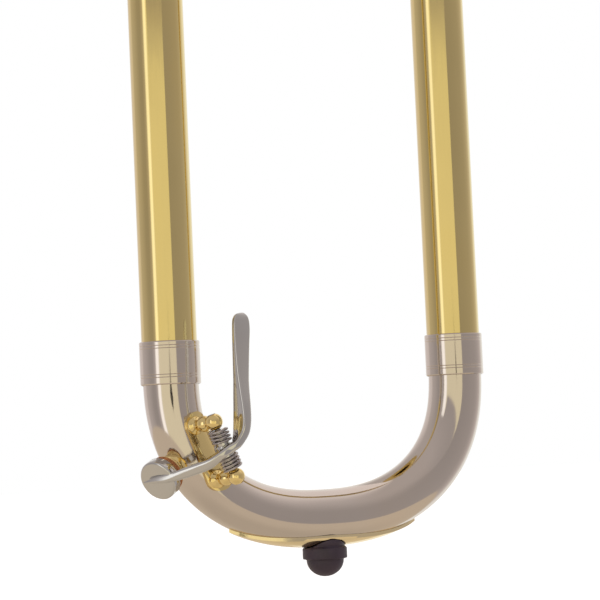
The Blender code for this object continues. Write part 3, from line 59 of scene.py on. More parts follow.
bl_info = {
    "name": "Bass Trombone",
    "version": (1, 0, 0),
    "blender": (4, 5, 0),
    "location": "View3D > Sidebar > Trombone",
    "description": "Builds the outside of a bass trombone and the light round it",
    "category": "Add Mesh",
}

mm = 0.001
X_AXIS = Vector((1, 0, 0))
Y_AXIS = Vector((0, 1, 0))
Z_AXIS = Vector((0, 0, 1))
EIGHTH = math.radians(45)
LEAN = math.cos(EIGHTH)
SEAM = 0.002 * mm  # points closer together than this are one point
TURNED = 12  # degrees: a turned piece keeps its bands flat between edges sharper than this
FINISH = {}
SLOTS = {entry["node"]: entry["material_slot"] for entry in frame["record"]["subparts"]}


def length(name, description, default):
    """A size, written here in millimetres and kept in metres."""
    return bpy.props.FloatProperty(name=name, description=description, default=default * mm,
                                   unit="LENGTH", precision=5)


def colour(name, description, default):
    """A linear colour."""
    return bpy.props.FloatVectorProperty(name=name, description=description, default=default, size=3,
                                         subtype="COLOR", min=0.0, max=1.0)


class TromboneSlideSizes(bpy.types.PropertyGroup):
    """Sizes of the hand slide."""

    spacing: length("Tube spacing", "Distance between the slide tubes' centres", 92.0)
    tube_radius: length("Tube radius", "Outer radius of the outer tubes", 8.0)
    tube_wall: length("Tube wall", "Wall of the outer tubes", 0.3)
    tube_top: length("Tube top", "Height of the outer tubes' upper ends", -40.0)
    springline: length("Springline", "Height where the end bow begins", -660.0)
    ferrule_radius: length("Ferrule radius", "Outer radius of the bow's ferrules", 8.7)
    ferrule_rise: length("Ferrule rise", "How far a ferrule stands above the springline", 10.9)
    ferrule_drop: length("Ferrule drop", "How far a ferrule reaches below the springline", 1.6)
    gap: length("Seat gap", "Clearance between seated pieces", 0.3)


class TromboneBowSizes(bpy.types.PropertyGroup):
    """Sizes of the end bow, its guard and its bumper."""

    drop: length("Drop", "From the springline to the lowest point of the bow's centreline", 41.8)
    power: bpy.props.FloatProperty(name="Squareness", description="Power of the bow's rounded shape",
                                   default=2.36)
    wall: length("Wall", "Wall of the bow", 0.5)
    guard_half_length: length("Guard half length", "Half the length of the guard under the bow", 30.0)
    guard_half_width: length("Guard half width", "Half the width of the guard at its middle", 6.0)
    guard_wall: length("Guard thickness", "Thickness of the guard", 0.6)


class TromboneKeySizes(bpy.types.PropertyGroup):
    """Sizes of the water key."""

    post_spacing: length("Post spacing", "Distance between the hinge posts", 16.6)
    post_length: length("Post length", "From a post's ball to its foot", 10.5)
    coil_radius: length("Coil radius", "Mean radius of the spring's coils", 2.65)
    wire_radius: length("Wire radius", "Radius of the spring's wire", 0.35)


class TromboneBellSizes(bpy.types.PropertyGroup):
    """Sizes of the bell section."""

    offset: length("Bell offset", "Distance of the bell's axis behind the slide", 135.0)
    rim_radius: length("Rim radius", "Radius of the bell's rim", 120.5)
    bead: length("Rim bead", "How far the rolled rim stands out past the bell's edge", 0.9)
    rim_height: length("Rim height", "Height of the bell's rim", -255.0)
    tail_top: length("Tail top", "Height of the bell's narrow end", 268.0)
    tube_radius: length("Tube radius", "Outer radius of the bell section's tubes", 8.0)
    tube_wall: length("Tube wall", "Wall of the bell section's tubes", 0.5)
    knuckle: length("Knuckle radius", "Bend radius of the short bends at the valves", 22.0)
    port_start: length("Port start", "Distance of a tube's end from the valve's axis", 21.0)
    port_run: length("Port run", "Straight run of a tube at a valve's port", 4.0)
    first_valve: length("First valve height", "Height of the first valve's axis", 150.0)
    second_valve: length("Second valve height", "Height of the second valve's axis", 222.0)
    loop_bend: length("Loop bend", "Bend radius where a valve's loop leaves its port", 56.0)
    loop_gap: length("Loop gap", "Distance between the two legs of a valve's loop", 43.4)
    main_top: length("Main sleeve top", "Height of the main tuning slide's sleeves", 345.0)


class TromboneColours(bpy.types.PropertyGroup):
    """Colours of the finishes and of the studio."""

    brass: colour("Lacquered brass", "Colour of the lacquered brass", (0.735, 0.60, 0.27))
    nickel: colour("Nickel silver", "Colour of the nickel silver", (0.665, 0.60, 0.535))
    gold: colour("Polished brass", "Colour of the bright brass", (0.88, 0.69, 0.31))
    lever: colour("Key nickel", "Colour of the water key's nickel silver", (0.60, 0.595, 0.575))
    steel: colour("Spring steel", "Colour of the spring's wire", (0.50, 0.46, 0.45))
    rubber: colour("Rubber", "Colour of the bumper", (0.040, 0.028, 0.046))
    cork: colour("Cork", "Colour of the water key's cork", (0.50, 0.20, 0.07))
    felt: colour("Felt", "Colour of the felts", (0.05, 0.05, 0.055))
    guard: colour("Guard brass", "Colour of the bow's guard", (0.90, 0.76, 0.47))
    silver: colour("Silver plate", "Colour of the mouthpiece", (0.80, 0.79, 0.75))
    panel: colour("Front panel", "Colour of the warm panel behind the camera", (0.94, 0.86, 0.64))
    side: colour("Side panels", "Colour of the studio's sides", (0.47, 0.43, 0.425))
    ground: colour("Ground", "Colour of the floor in reflections", (0.69, 0.595, 0.485))


def sizes(name):
    """A group of this file's sizes or colours."""
    return getattr(bpy.context.scene, "trombone_" + name)


# Shaping helpers


def mode(name):
    """Change to the EDIT or the OBJECT mode."""
    bpy.ops.object.mode_set(mode=name)


def choose(piece):
    """Select one object and make it the active one."""
    bpy.ops.object.select_all(action="DESELECT")
    piece.select_set(True)
    bpy.context.view_layer.objects.active = piece


def start_piece(name, point):
    """Begin a piece with one point to draw from, in edit mode."""
    bpy.ops.object.select_all(action="DESELECT")
    bpy.ops.mesh.primitive_plane_add(size=mm, location=(0, 0, 0))
    piece = bpy.context.object
    piece.name = piece.data.name = name
    mode("EDIT")
    bpy.ops.mesh.select_all(action="SELECT")
    bpy.ops.mesh.merge(type="CENTER")
    bpy.ops.transform.translate(value=point)
    return piece


def draw_line(points):
    """Extrude the chosen point along a line of points, in edit mode."""
    for here, there in zip(points, points[1:]):
        step = tuple(end - start for start, end in zip(here, there))
        bpy.ops.mesh.extrude_vertices_move(TRANSFORM_OT_translate={"value": step})


def tidy_mesh(distance=SEAM):
    """Merge doubled points and turn the faces outwards, in edit mode."""
    bpy.ops.mesh.select_all(action="SELECT")
    bpy.ops.mesh.remove_doubles(threshold=distance)
    bpy.ops.mesh.normals_make_consistent(inside=False)


def apply_place(piece):
    """Put the object's place into its mesh."""
    choose(piece)
    bpy.ops.object.transform_apply(location=True, rotation=True, scale=True)
    return piece


def lathe(name, profile, place=(0, 0, 0), direction=Z_AXIS, steps=64):
    """Spin a profile of (radius, height) in millimetres. One that starts off the axis makes a closed ring."""
    line = [(radius * mm, 0, height * mm) for radius, height in profile]
    piece = start_piece(name, line[0])
    draw_line(line + line[:1] if profile[0][0] else line)
    bpy.ops.mesh.select_all(action="SELECT")
    bpy.ops.mesh.spin(steps=steps, angle=math.tau, center=(0, 0, 0), axis=(0, 0, 1))
    tidy_mesh()
    mode("OBJECT")
    piece.rotation_euler = Vector(direction).to_track_quat("Z", "Y").to_euler()
    piece.location = place
    return apply_place(piece)


def rod(radius, top, foot, place, direction=Z_AXIS, steps=24):
    """A plain solid rod between two heights, in millimetres."""
    return lathe("rod", [(0, top), (radius, top), (radius, foot), (0, foot)], place, direction, steps)


def tube_along(name, points, radius, sides, wall=None, radii=None):
    """A rod, or with a wall an open tube, along a line of points."""
    bpy.ops.object.select_all(action="DESELECT")
    bpy.ops.curve.primitive_nurbs_path_add(location=(0, 0, 0))
    piece = bpy.context.object
    piece.name = name
    line = piece.data
    line.splines.clear()
    line.bevel_depth = radius
    line.bevel_resolution = (sides - 4) // 2
    line.use_fill_caps = wall is None
    spline = line.splines.new("POLY")
    spline.points.add(len(points) - 1)
    for index, point in enumerate(points):
        spline.points[index].co = (*point, 1)
        spline.points[index].radius = 1.0 if radii is None else radii[index] / radius
    bpy.ops.object.convert(target="MESH")
    piece = bpy.context.object
    piece.data.name = name
    close_seams(piece, SEAM)
    if wall is not None:
        shell = piece.modifiers.new("Wall", "SOLIDIFY")
        shell.thickness = wall
        shell.offset = -1.0
        shell.use_even_offset = True
        finish_modifiers(piece)
    return apply_place(piece)


def finish_modifiers(piece):
    """Apply a piece's modifiers."""
    choose(piece)
    for name in [modifier.name for modifier in piece.modifiers]:
        bpy.ops.object.modifier_apply(modifier=name)


def combine(piece, other, operation, keep=False):
    """Join, cut or intersect a piece with another, and remove the other unless it is kept."""
    step = piece.modifiers.new(operation.title(), "BOOLEAN")
    step.operation = operation
    step.solver = "EXACT"
    step.object = other
    finish_modifiers(piece)
    if not keep:
        bpy.data.objects.remove(other)


def close_seams(piece, distance=0.01 * mm):
    """Merge the near-doubled points that cuts leave."""
    choose(piece)
    mode("EDIT")
    tidy_mesh(distance)
    mode("OBJECT")


def round_edges(piece, width, angle=35):
    """Round a piece's sharp edges."""
    bevel = piece.modifiers.new("Edges", "BEVEL")
    bevel.width = width
    bevel.segments = 2
    bevel.limit_method = "ANGLE"
    bevel.angle_limit = math.radians(angle)
    bevel.harden_normals = False
    finish_modifiers(piece)


def block(points, low, rise):
    """A straight-sided block over an outline of (x, y), to cut other pieces with."""
    outline = [(x, y, low) for x, y in points + points[:1]]
    piece = start_piece("block", outline[0])
    draw_line(outline)
    bpy.ops.mesh.select_all(action="SELECT")
    bpy.ops.mesh.remove_doubles(threshold=SEAM)
    bpy.ops.mesh.select_all(action="SELECT")
    bpy.ops.mesh.edge_face_add()
    bpy.ops.mesh.extrude_region_move(TRANSFORM_OT_translate={"value": (0, 0, rise)})
    tidy_mesh()
    mode("OBJECT")
    return piece


def rounded_ring(centre, across, deep, width, depth):
    """Points round a rounded rectangle."""
    points = []
    rounding = 0.27 * min(width, depth)
    for corner in range(4):
        right = width / 2 - rounding if corner in (0, 3) else rounding - width / 2
        back = depth / 2 - rounding if corner in (0, 1) else rounding - depth / 2
        for step in range(4):
            angle = (corner + step / 3) * math.pi / 2
            points.append(centre + across * (right + rounding * math.cos(angle))
                          + deep * (back + rounding * math.sin(angle)))
    return points


def loft(name, sections):
    """Bridge a rounded ring at each section, (centre, across, deep, width, depth), and close the ends."""
    rings = [rounded_ring(*section) for section in sections]
    piece = start_piece(name, rings[0][0])
    for index, ring in enumerate(rings):
        if index:
            bpy.ops.mesh.select_all(action="DESELECT")
            bpy.ops.mesh.primitive_plane_add(size=0.01 * mm, location=ring[0])
            bpy.ops.mesh.merge(type="CENTER")
        draw_line(ring + ring[:1])
    bpy.ops.mesh.select_all(action="SELECT")
    bpy.ops.mesh.remove_doubles(threshold=SEAM / 2)
    bpy.ops.mesh.select_all(action="SELECT")
    bpy.ops.mesh.bridge_edge_loops()
    for ring in (rings[0], rings[-1]):
        bpy.ops.mesh.select_mode(type="VERT")
        bpy.ops.mesh.select_all(action="DESELECT")
        mode("OBJECT")
        for vertex in piece.data.vertices:
            vertex.select = min((vertex.co - point).length for point in ring) < SEAM
        mode("EDIT")
        bpy.ops.mesh.edge_face_add()
    tidy_mesh()
    mode("OBJECT")
    return piece


def between(before, start, end, after, share):
    """A smooth curve through a list of values, between its second and third."""
    return 0.5 * (2 * start + (end - before) * share
                  + (2 * before - 5 * start + 4 * end - after) * share ** 2
                  + (3 * start - before - 3 * end + after) * share ** 3)


def refined(rows, steps):
    """Rows of numbers with smooth rows put between them."""
    padded = [rows[0], *rows, rows[-1]]
    result = []
    for four in zip(padded, padded[1:], padded[2:], padded[3:]):
        for step in range(steps):
            result.append(tuple(between(*column, step / steps) for column in zip(*four)))
    return result + [rows[-1]]


def dress(piece, body, slot, nodes=(), angle=32, finish=None):
    """Give a finished piece its shading, finish and body, and let it stand for its solids."""
    choose(piece)
    bpy.ops.object.shade_smooth_by_angle(angle=math.radians(angle))
    repaint(piece, FINISH[finish or slot])
    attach(piece, body)
    if nodes:
        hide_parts(*nodes)


def repaint(piece, finish):
    """Give a piece or a solid its finish."""
    piece.data.materials.clear()
    piece.data.materials.append(finish)


def refine_solid(node, edge):
    """Copy a solid into a piece of its own, join its flat triangles, round its sharp edges and dress it."""
    solid = frame["nodes"][node]
    choose(solid)
    bpy.ops.object.duplicate(linked=False)
    piece = bpy.context.object
    del piece["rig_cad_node"]
    piece.name = piece.data.name = f"{node}_skin"
    mode("EDIT")
    tidy_mesh()
    bpy.ops.mesh.select_all(action="SELECT")
    bpy.ops.mesh.dissolve_limited(angle_limit=math.radians(0.4))
    mode("OBJECT")
    if edge:
        round_edges(piece, edge * mm, 50)
    dress(piece, solid["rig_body"], SLOTS[node], [node], 30)


# Routes shared by several pieces


def bow_point(along):
    """A point of the end bow's centreline, from 0 on the bell side to pi on the mouthpiece side."""
    slide = sizes("slide")
    bow = sizes("bow")
    cosine = math.cos(along)
    reach = math.copysign(abs(cosine) ** (2 / bow.power), cosine)
    drop = abs(math.sin(along)) ** (2 / bow.power)
    return Vector((-slide.spacing / 2 * reach, 0, slide.springline - bow.drop * drop))


def bow_route(first, last, steps):
    """Points of the bow's centreline between two angles in degrees."""
    first = math.radians(first)
    last = math.radians(last)
    return [bow_point(first + (last - first) * step / steps) for step in range(steps + 1)]


def nipple_place():
    """The water nipple's place on the bow's centreline and the direction out of the bow there."""
    along = math.radians(28.0)
    around = math.radians(-62.0)
    step = math.radians(0.01)
    tangent = (bow_point(along + step) - bow_point(along - step)).normalized()
    inside = tangent.cross(Y_AXIS)
    return bow_point(along), math.cos(around) * -Y_AXIS + math.sin(around) * inside


def key_frame():
    """The water key's hinge: its middle and its outward, across and axis directions."""
    middle = Vector((-37.57 * mm, -18.63 * mm, sizes("slide").springline - 20.6 * mm))
    lean = math.radians(21.2)
    turn = math.radians(11.6)
    axis = Vector((math.sin(lean), 0, -math.cos(lean)))
    level = Vector((math.cos(lean), 0, math.sin(lean)))
    outward = math.cos(turn) * -Y_AXIS + math.sin(turn) * level
    return middle, outward, axis.cross(outward), axis


class Route:
    """A path of straight runs and bends in the bell section's middle plane."""

    def __init__(self, start, heading):
        self.place = Vector(start)
        self.heading = Vector(heading).normalized()
        self.points = [self.place.copy()]

    def forward(self, distance):
        """Run straight on."""
        self.place += self.heading * distance
        self.points.append(self.place.copy())

    def bend(self, angle, radius, steps=14):
        """Turn by an angle about the X axis, right-handed."""
        inward = X_AXIS.cross(self.heading) * (1 if angle > 0 else -1)
        centre = self.place + inward * radius
        for step in range(1, steps + 1):
            spin = Matrix.Rotation(angle * step / steps, 3, X_AXIS)
            self.points.append(centre + spin @ (-inward * radius))
        self.place = self.points[-1].copy()
        self.heading = Matrix.Rotation(angle, 3, X_AXIS) @ self.heading


def line_root():
    """The foot of the bell section's main line, over the slide's tube on the bell side."""
    return Vector((-sizes("slide").spacing / 2, 0, 0))


def valve_place():
    """How far behind the main line a valve's axis is, and how far a knuckle reaches above it."""
    bell = sizes("bell")
    start = bell.port_start + bell.port_run
    return start * LEAN + bell.knuckle * (1 - LEAN), (start + bell.knuckle) * LEAN


def port_route(height, y, z):
    """A route that leaves a valve through the port that faces (y, z)."""
    bell = sizes("bell")
    heading = Vector((0, y * LEAN, z * LEAN))
    route = Route(Vector((0, valve_place()[0], height)) + heading * bell.port_start, heading)
    route.forward(bell.port_run)
    return route


# Finishes


def feed(tree, node, inputs):
    """Set each of a node's inputs to a value, or link it to an output."""
    for name, value in inputs.items():
        if isinstance(value, bpy.types.NodeSocket):
            tree.links.new(value, node.inputs[name])
        else:
            node.inputs[name].default_value = value


def add_node(tree, kind, inputs=None, **settings):
    """Add a shader node with its settings and inputs."""
    node = tree.nodes.new("ShaderNode" + kind)
    for name, value in settings.items():
        setattr(node, name, value)
    feed(tree, node, inputs or {})
    return node


def new_finish(name):
    """An empty node material with its Principled shader."""
    material = bpy.data.materials.new(name)
    material.use_nodes = True
    return material, material.node_tree, material.node_tree.nodes["Principled BSDF"]


def add_noise(tree, scale, detail, stretch=(1, 1, 1), roughness=0.5):
    """Noise on Object coordinates, stretched per axis."""
    where = add_node(tree, "TexCoord").outputs["Object"]
    mapping = add_node(tree, "Mapping", {"Scale": stretch, "Vector": where})
    return add_node(tree, "TexNoise", {"Scale": scale, "Detail": detail, "Roughness": roughness,
                                       "Vector": mapping.outputs["Vector"]}).outputs["Fac"]


def add_ramp(tree, source, stops):
    """A colour ramp on a value, from (place, colour) stops."""
    ramp = add_node(tree, "ValToRGB", {"Fac": source})
    while len(ramp.color_ramp.elements) < len(stops):
        ramp.color_ramp.elements.new(0.5)
    for element, (place, tone) in zip(ramp.color_ramp.elements, stops):
        element.position = place
        element.color = (*tone, 1)
    return ramp.outputs["Color"]


def add_range(tree, noise, low, high):
    """Spread the middle of a noise over a range."""
    return add_node(tree, "MapRange", {"From Min": 0.3, "From Max": 0.7, "To Min": low, "To Max": high,
                                       "Value": noise}).outputs["Result"]


def add_bump(tree, source, strength, distance):
    """Raise the surface a little by a value."""
    return add_node(tree, "Bump", {"Strength": strength, "Distance": distance * mm,
                                   "Height": source}).outputs["Normal"]


def shade(base, factor):
    """A colour made lighter or darker."""
    return tuple(min(1.0, channel * factor) for channel in base)


def shades(base, *stops):
    """Ramp stops from (place, factor) on one colour."""
    return [(place, shade(base, factor)) for place, factor in stops]


def polished_metal(name, base, roughness, drift, tint, stretch=(1, 1, 0.06)):
    """Drawn and polished metal: slow drifts of tone, fine draw lines along the tube, tiny handling marks."""
    material, tree, shader = new_finish(name)
    tinted = tuple(min(1.0, channel * factor) for channel, factor in zip(base, tint))
    stops = shades(base, (0.30, 1 - drift), (0.50, 1)) + [(0.72, tinted)]
    lines = add_noise(tree, 1500, 2, stretch)
    feed(tree, shader, {
        "Base Color": add_ramp(tree, add_noise(tree, 38, 3, (1, 1, 0.5)), stops),
        "Roughness": add_range(tree, lines, roughness * 0.75, roughness * 1.35),
        "Normal": add_bump(tree, add_noise(tree, 260, 5, (1, 1, 0.35), 0.65), 0.05, 0.05),
        "Metallic": 1.0,
    })
    return material


def make_finishes():
    """Every finish by its slot's name."""
    tones = sizes("colours")
    even = (1, 1, 1)
    cool = (1.02, 1.0, 0.97)
    finishes = {name: polished_metal(name, *values) for name, *values in (
        ("lacquered_brass", tones.brass, 0.075, 0.05, (1.03, 1.0, 0.92)),
        ("nickel_silver", tones.nickel, 0.085, 0.04, cool),
        ("polished_brass", tones.gold, 0.10, 0.06, (1.02, 0.98, 0.88), even),
        ("key_nickel", tones.lever, 0.085, 0.04, cool, even),
        ("guard_brass", tones.guard, 0.12, 0.04, (1.02, 0.99, 0.92)),
        ("silver_plate", tones.silver, 0.06, 0.03, (1.0, 0.99, 0.96), even),
    )}
    lacquered = finishes["lacquered_brass"].node_tree
    feed(lacquered, lacquered.nodes["Principled BSDF"], {"Coat Weight": 0.25, "Coat Roughness": 0.04})

    material, tree, shader = new_finish("spring_steel")
    drawn = add_noise(tree, 900, 4)
    feed(tree, shader, {
        "Base Color": add_ramp(tree, drawn, shades(tones.steel, (0.3, 0.7), (0.55, 1), (0.8, 1.35))),
        "Roughness": add_range(tree, drawn, 0.24, 0.4),
        "Metallic": 1.0,
    })
    finishes["spring_steel"] = material

    material, tree, shader = new_finish("bumper_rubber")
    grain = add_noise(tree, 1400, 6, roughness=0.7)
    dust = add_noise(tree, 160, 4)
    feed(tree, shader, {
        "Base Color": add_ramp(tree, dust, shades(tones.rubber, (0.35, 1), (0.7, 1.7), (0.9, 2.2))),
        "Roughness": add_range(tree, dust, 0.42, 0.62),
        "Normal": add_bump(tree, grain, 0.35, 0.1),
    })
    finishes["rubber"] = material

    material, tree, shader = new_finish("cork")
    where = add_node(tree, "TexCoord").outputs["Object"]
    grain = add_node(tree, "TexVoronoi", {"Scale": 1600, "Vector": where}).outputs["Distance"]
    feed(tree, shader, {
        "Base Color": add_ramp(tree, grain, shades(tones.cork, (0.1, 0.55), (0.5, 1), (0.9, 1.4))),
        "Roughness": 0.85,
        "Normal": add_bump(tree, grain, 0.5, 0.1),
    })
    finishes["cork"] = material

    material, tree, shader = new_finish("felt")
    fibres = add_noise(tree, 2600, 8, roughness=0.8)
    feed(tree, shader, {
        "Base Color": add_ramp(tree, fibres, shades(tones.felt, (0.3, 0.6), (0.7, 1.6))),
        "Roughness": 0.95,
        "Sheen Weight": 0.4,
        "Normal": add_bump(tree, fibres, 0.8, 0.2),
    })
    finishes["felt"] = material
    return finishes


class TromboneFinishes(bpy.types.Operator):
    """Make the metal, rubber, cork and felt finishes and put them on the solids."""

    bl_idname = "trombone.finishes"
    bl_label = "Finishes"

    def execute(self, context):
        FINISH.update(make_finishes())
        for node, solid in frame["nodes"].items():
            repaint(solid, FINISH[SLOTS[node]])
        return {"FINISHED"}


# The hand slide


class TromboneOuterSlide(bpy.types.Operator):
    """Build the two outer tubes, their ferrules, sleeves and hand brace."""

    bl_idname = "trombone.outer_slide"
    bl_label = "Outer slide"

    def execute(self, context):
        slide = sizes("slide")
        radius = slide.tube_radius / mm
        bore = radius + slide.gap / mm
        springline = slide.springline / mm
        for side, x in (("bell_side", -slide.spacing / 2), ("mouthpiece_side", slide.spacing / 2)):
            place = (x, 0, 0)
            inner = radius - slide.tube_wall / mm
            top = slide.tube_top / mm
            foot = springline + slide.gap / mm / 2
            tube = lathe(f"slide_tube_{side}", [(radius, top), (radius, foot), (inner, foot), (inner, top)],
                         place, steps=96)
            dress(tube, "outer_slide", "lacquered_brass", [f"outer_tube_{side}"])

            outer = slide.ferrule_radius / mm
            top = springline + slide.ferrule_rise / mm
            low = springline - slide.ferrule_drop / mm
            profile = [(outer - 0.35, top), (outer - 0.1, top - 0.1), (outer, top - 0.35)]
            for height in (top - 1.3, top - 2.1, low + 2.9, low + 2.1):
                profile += groove(outer, height)
            profile += [(outer, low + 0.35), (outer - 0.1, low + 0.1), (outer - 0.35, low), (bore, low),
                        (bore, top)]
            ferrule = lathe(f"bow_ferrule_{side}", profile, place, steps=96)
            dress(ferrule, "outer_slide", "nickel_silver", [f"ferrule_{side}"], TURNED)

            outer = 8.8
            top = -52.0
            foot = top - 48.0
            profile = [(outer + 0.3, top), (outer + 0.5, top - 0.3), (outer + 0.5, top - 1.3),
                       (outer + 0.2, top - 1.8), (outer, top - 2.2)]
            for depth in (12.0, 13.0, 40.0, 41.0):
                profile += groove(outer, top - depth)
            profile += [(outer, foot + 0.4), (outer - 0.3, foot), (bore, foot), (bore, top)]
            sleeve = lathe(f"slide_sleeve_{side}", profile, place)
            if x > 0:
                bpy.ops.object.select_all(action="DESELECT")
                bpy.ops.mesh.primitive_cube_add(size=1, scale=(2.4 * mm, 4.0 * mm, 3.0 * mm),
                                                location=(x + (outer + 0.75) * mm, 0, (top - 2.0) * mm))
                lug = apply_place(bpy.context.object)
                round_edges(lug, 0.5 * mm)
                combine(sleeve, lug, "UNION")
            dress(sleeve, "outer_slide", "nickel_silver", [f"outer_sleeve_{side}"], TURNED)
        brace = hand_brace("slide_brace_outer", -76.0, 9.1, 10.4, 14.0)
        dress(brace, "outer_slide", "nickel_silver", ["outer_hand_brace"])
        return {"FINISHED"}


def groove(radius, height, depth=0.09):
    """The points of a scribed line round a turned piece."""
    return [(radius, height + depth * 1.3), (radius - depth, height), (radius, height - depth * 1.3)]


def hand_brace(name, height, bore, ring_radius, ring_height):
    """A bar with flared feet between two rings, in millimetres."""
    half = sizes("slide").spacing / 2 / mm
    at = half - ring_radius
    flare = [(0, half - bore), (5.9, half - bore), (5.9, at), (5.9, at - 1.6), (5.2, at - 2.6),
             (4.6, at - 4.4), (4.5, at - 6.2), (4.1, at - 12.0), (4.9, 2.0)]
    profile = flare + [(radius, -along) for radius, along in reversed(flare)]
    bar = lathe(name, profile, (0, 0, height * mm), X_AXIS, 48)
    top = ring_height / 2
    ring = [(ring_radius - 0.5, top), (ring_radius, top - 0.5), (ring_radius, -top + 0.5),
            (ring_radius - 0.5, -top), (bore, -top), (bore, top)]
    for x in (-half, half):
        place = (x * mm, 0, height * mm)
        combine(bar, rod(bore + 0.5, ring_height, -ring_height, place, steps=62), "DIFFERENCE")
        combine(bar, lathe("ring", ring, place), "UNION")
    return bar


class TromboneInnerSlide(bpy.types.Operator):
    """Build the inner tubes, barrels, felts, brace, tenon and mouthpiece receiver."""

    bl_idname = "trombone.inner_slide"
    bl_label = "Inner slide"

    def execute(self, context):
        half = sizes("slide").spacing / 2
        for side, x, top in (("bell_side", -half, 41.0), ("mouthpiece_side", half, 30.0)):
            place = (x, 0, 0)
            profile = [(7.385, top), (7.385, -529.9), (7.485, -530.0), (7.485, -640.0), (7.135, -640.0),
                       (7.135, top)]
            tube = lathe(f"stocking_tube_{side}", profile, place)
            dress(tube, "inner_slide", "nickel_silver", [f"inner_tube_{side}"])
            profile = [(9.0, -6.3), (9.8, -7.1), (9.8, -9.6), (9.5, -9.9), (9.5, -10.5), (9.8, -10.8),
                       (9.8, -46.0), (9.5, -46.3), (9.5, -46.9), (9.8, -47.2), (9.8, -49.7), (9.5, -50.0),
                       (8.7, -50.0), (8.7, -9.3), (7.685, -9.3), (7.685, -6.3)]
            barrel = lathe(f"barrel_{side}", profile, place)
            dress(barrel, "inner_slide", "nickel_silver", [f"cork_barrel_{side}"], TURNED)
            profile = [(7.685, -27.5), (8.1, -27.5), (8.3, -27.65), (8.4, -28.0), (8.4, -39.0),
                       (8.3, -39.35), (8.1, -39.5), (7.685, -39.5)]
            felt = lathe(f"slide_cushion_{side}", profile, place)
            dress(felt, "inner_slide", "felt", [f"slide_felt_{side}"])
        brace = hand_brace("slide_brace_inner", 0.0, 7.685, 9.285, 12.0)
        dress(brace, "inner_slide", "nickel_silver", ["inner_hand_brace"])

        profile = [(8.575, 65.0), (8.9, 64.4), (8.9, 62.0), (8.575, 61.4), (8.575, 40.0), (8.985, 30.5),
                   (8.985, 11.5), (9.0, 8.0), (7.685, 8.0), (7.685, 30.5), (6.8, 30.5), (6.8, -170.0),
                   (6.3, -170.0), (6.3, 39.5), (6.65, 39.5), (7.275, 65.0)]
        receiver = lathe("shank_receiver", profile, (half, 0, 0))
        dress(receiver, "inner_slide", "nickel_silver", ["mouthpiece_receiver"])

        profile = [(8.6, 52.0), (9.2, 22.5), (10.4, 22.5), (10.4, 20.0), (8.6, 20.0), (8.6, 7.0),
                   (7.685, 7.0), (7.685, 41.5), (7.2, 41.5), (7.2, 52.0)]
        tenon = lathe("slide_joint_tenon", profile, (-half, 0, 0))
        dress(tenon, "inner_slide", "nickel_silver", ["slide_tenon"])
        return {"FINISHED"}


class TromboneMouthpiece(bpy.types.Operator):
    """Turn the mouthpiece."""

    bl_idname = "trombone.mouthpiece"
    bl_label = "Mouthpiece"

    def execute(self, context):
        profile = [(17.3, 87.0), (18.4, 86.7), (19.1, 85.6), (19.45, 84.0), (19.4, 82.4), (18.7, 81.0),
                   (17.8, 79.6), (16.4, 75.4), (14.6, 70.4), (12.4, 66.2), (9.6, 61.8), (8.2, 58.6),
                   (7.65, 55.6), (7.5, 52.0), (7.3, 44.0), (7.16, 37.0), (6.98, 25.0), (6.35, 0.2),
                   (6.2, 0.0), (5.0, 0.0), (3.6, 51.0), (3.6, 57.0), (5.4, 60.5), (8.4, 65.0),
                   (10.8, 71.0), (12.6, 78.0), (13.7, 84.5), (14.6, 86.5), (15.8, 87.0)]
        shank_foot = 40.0 * mm
        piece = lathe("cup_mouthpiece", profile, (sizes("slide").spacing / 2, 0, shank_foot), steps=80)
        dress(piece, "mouthpiece_body", "silver_plate", ["mouthpiece"])
        return {"FINISHED"}


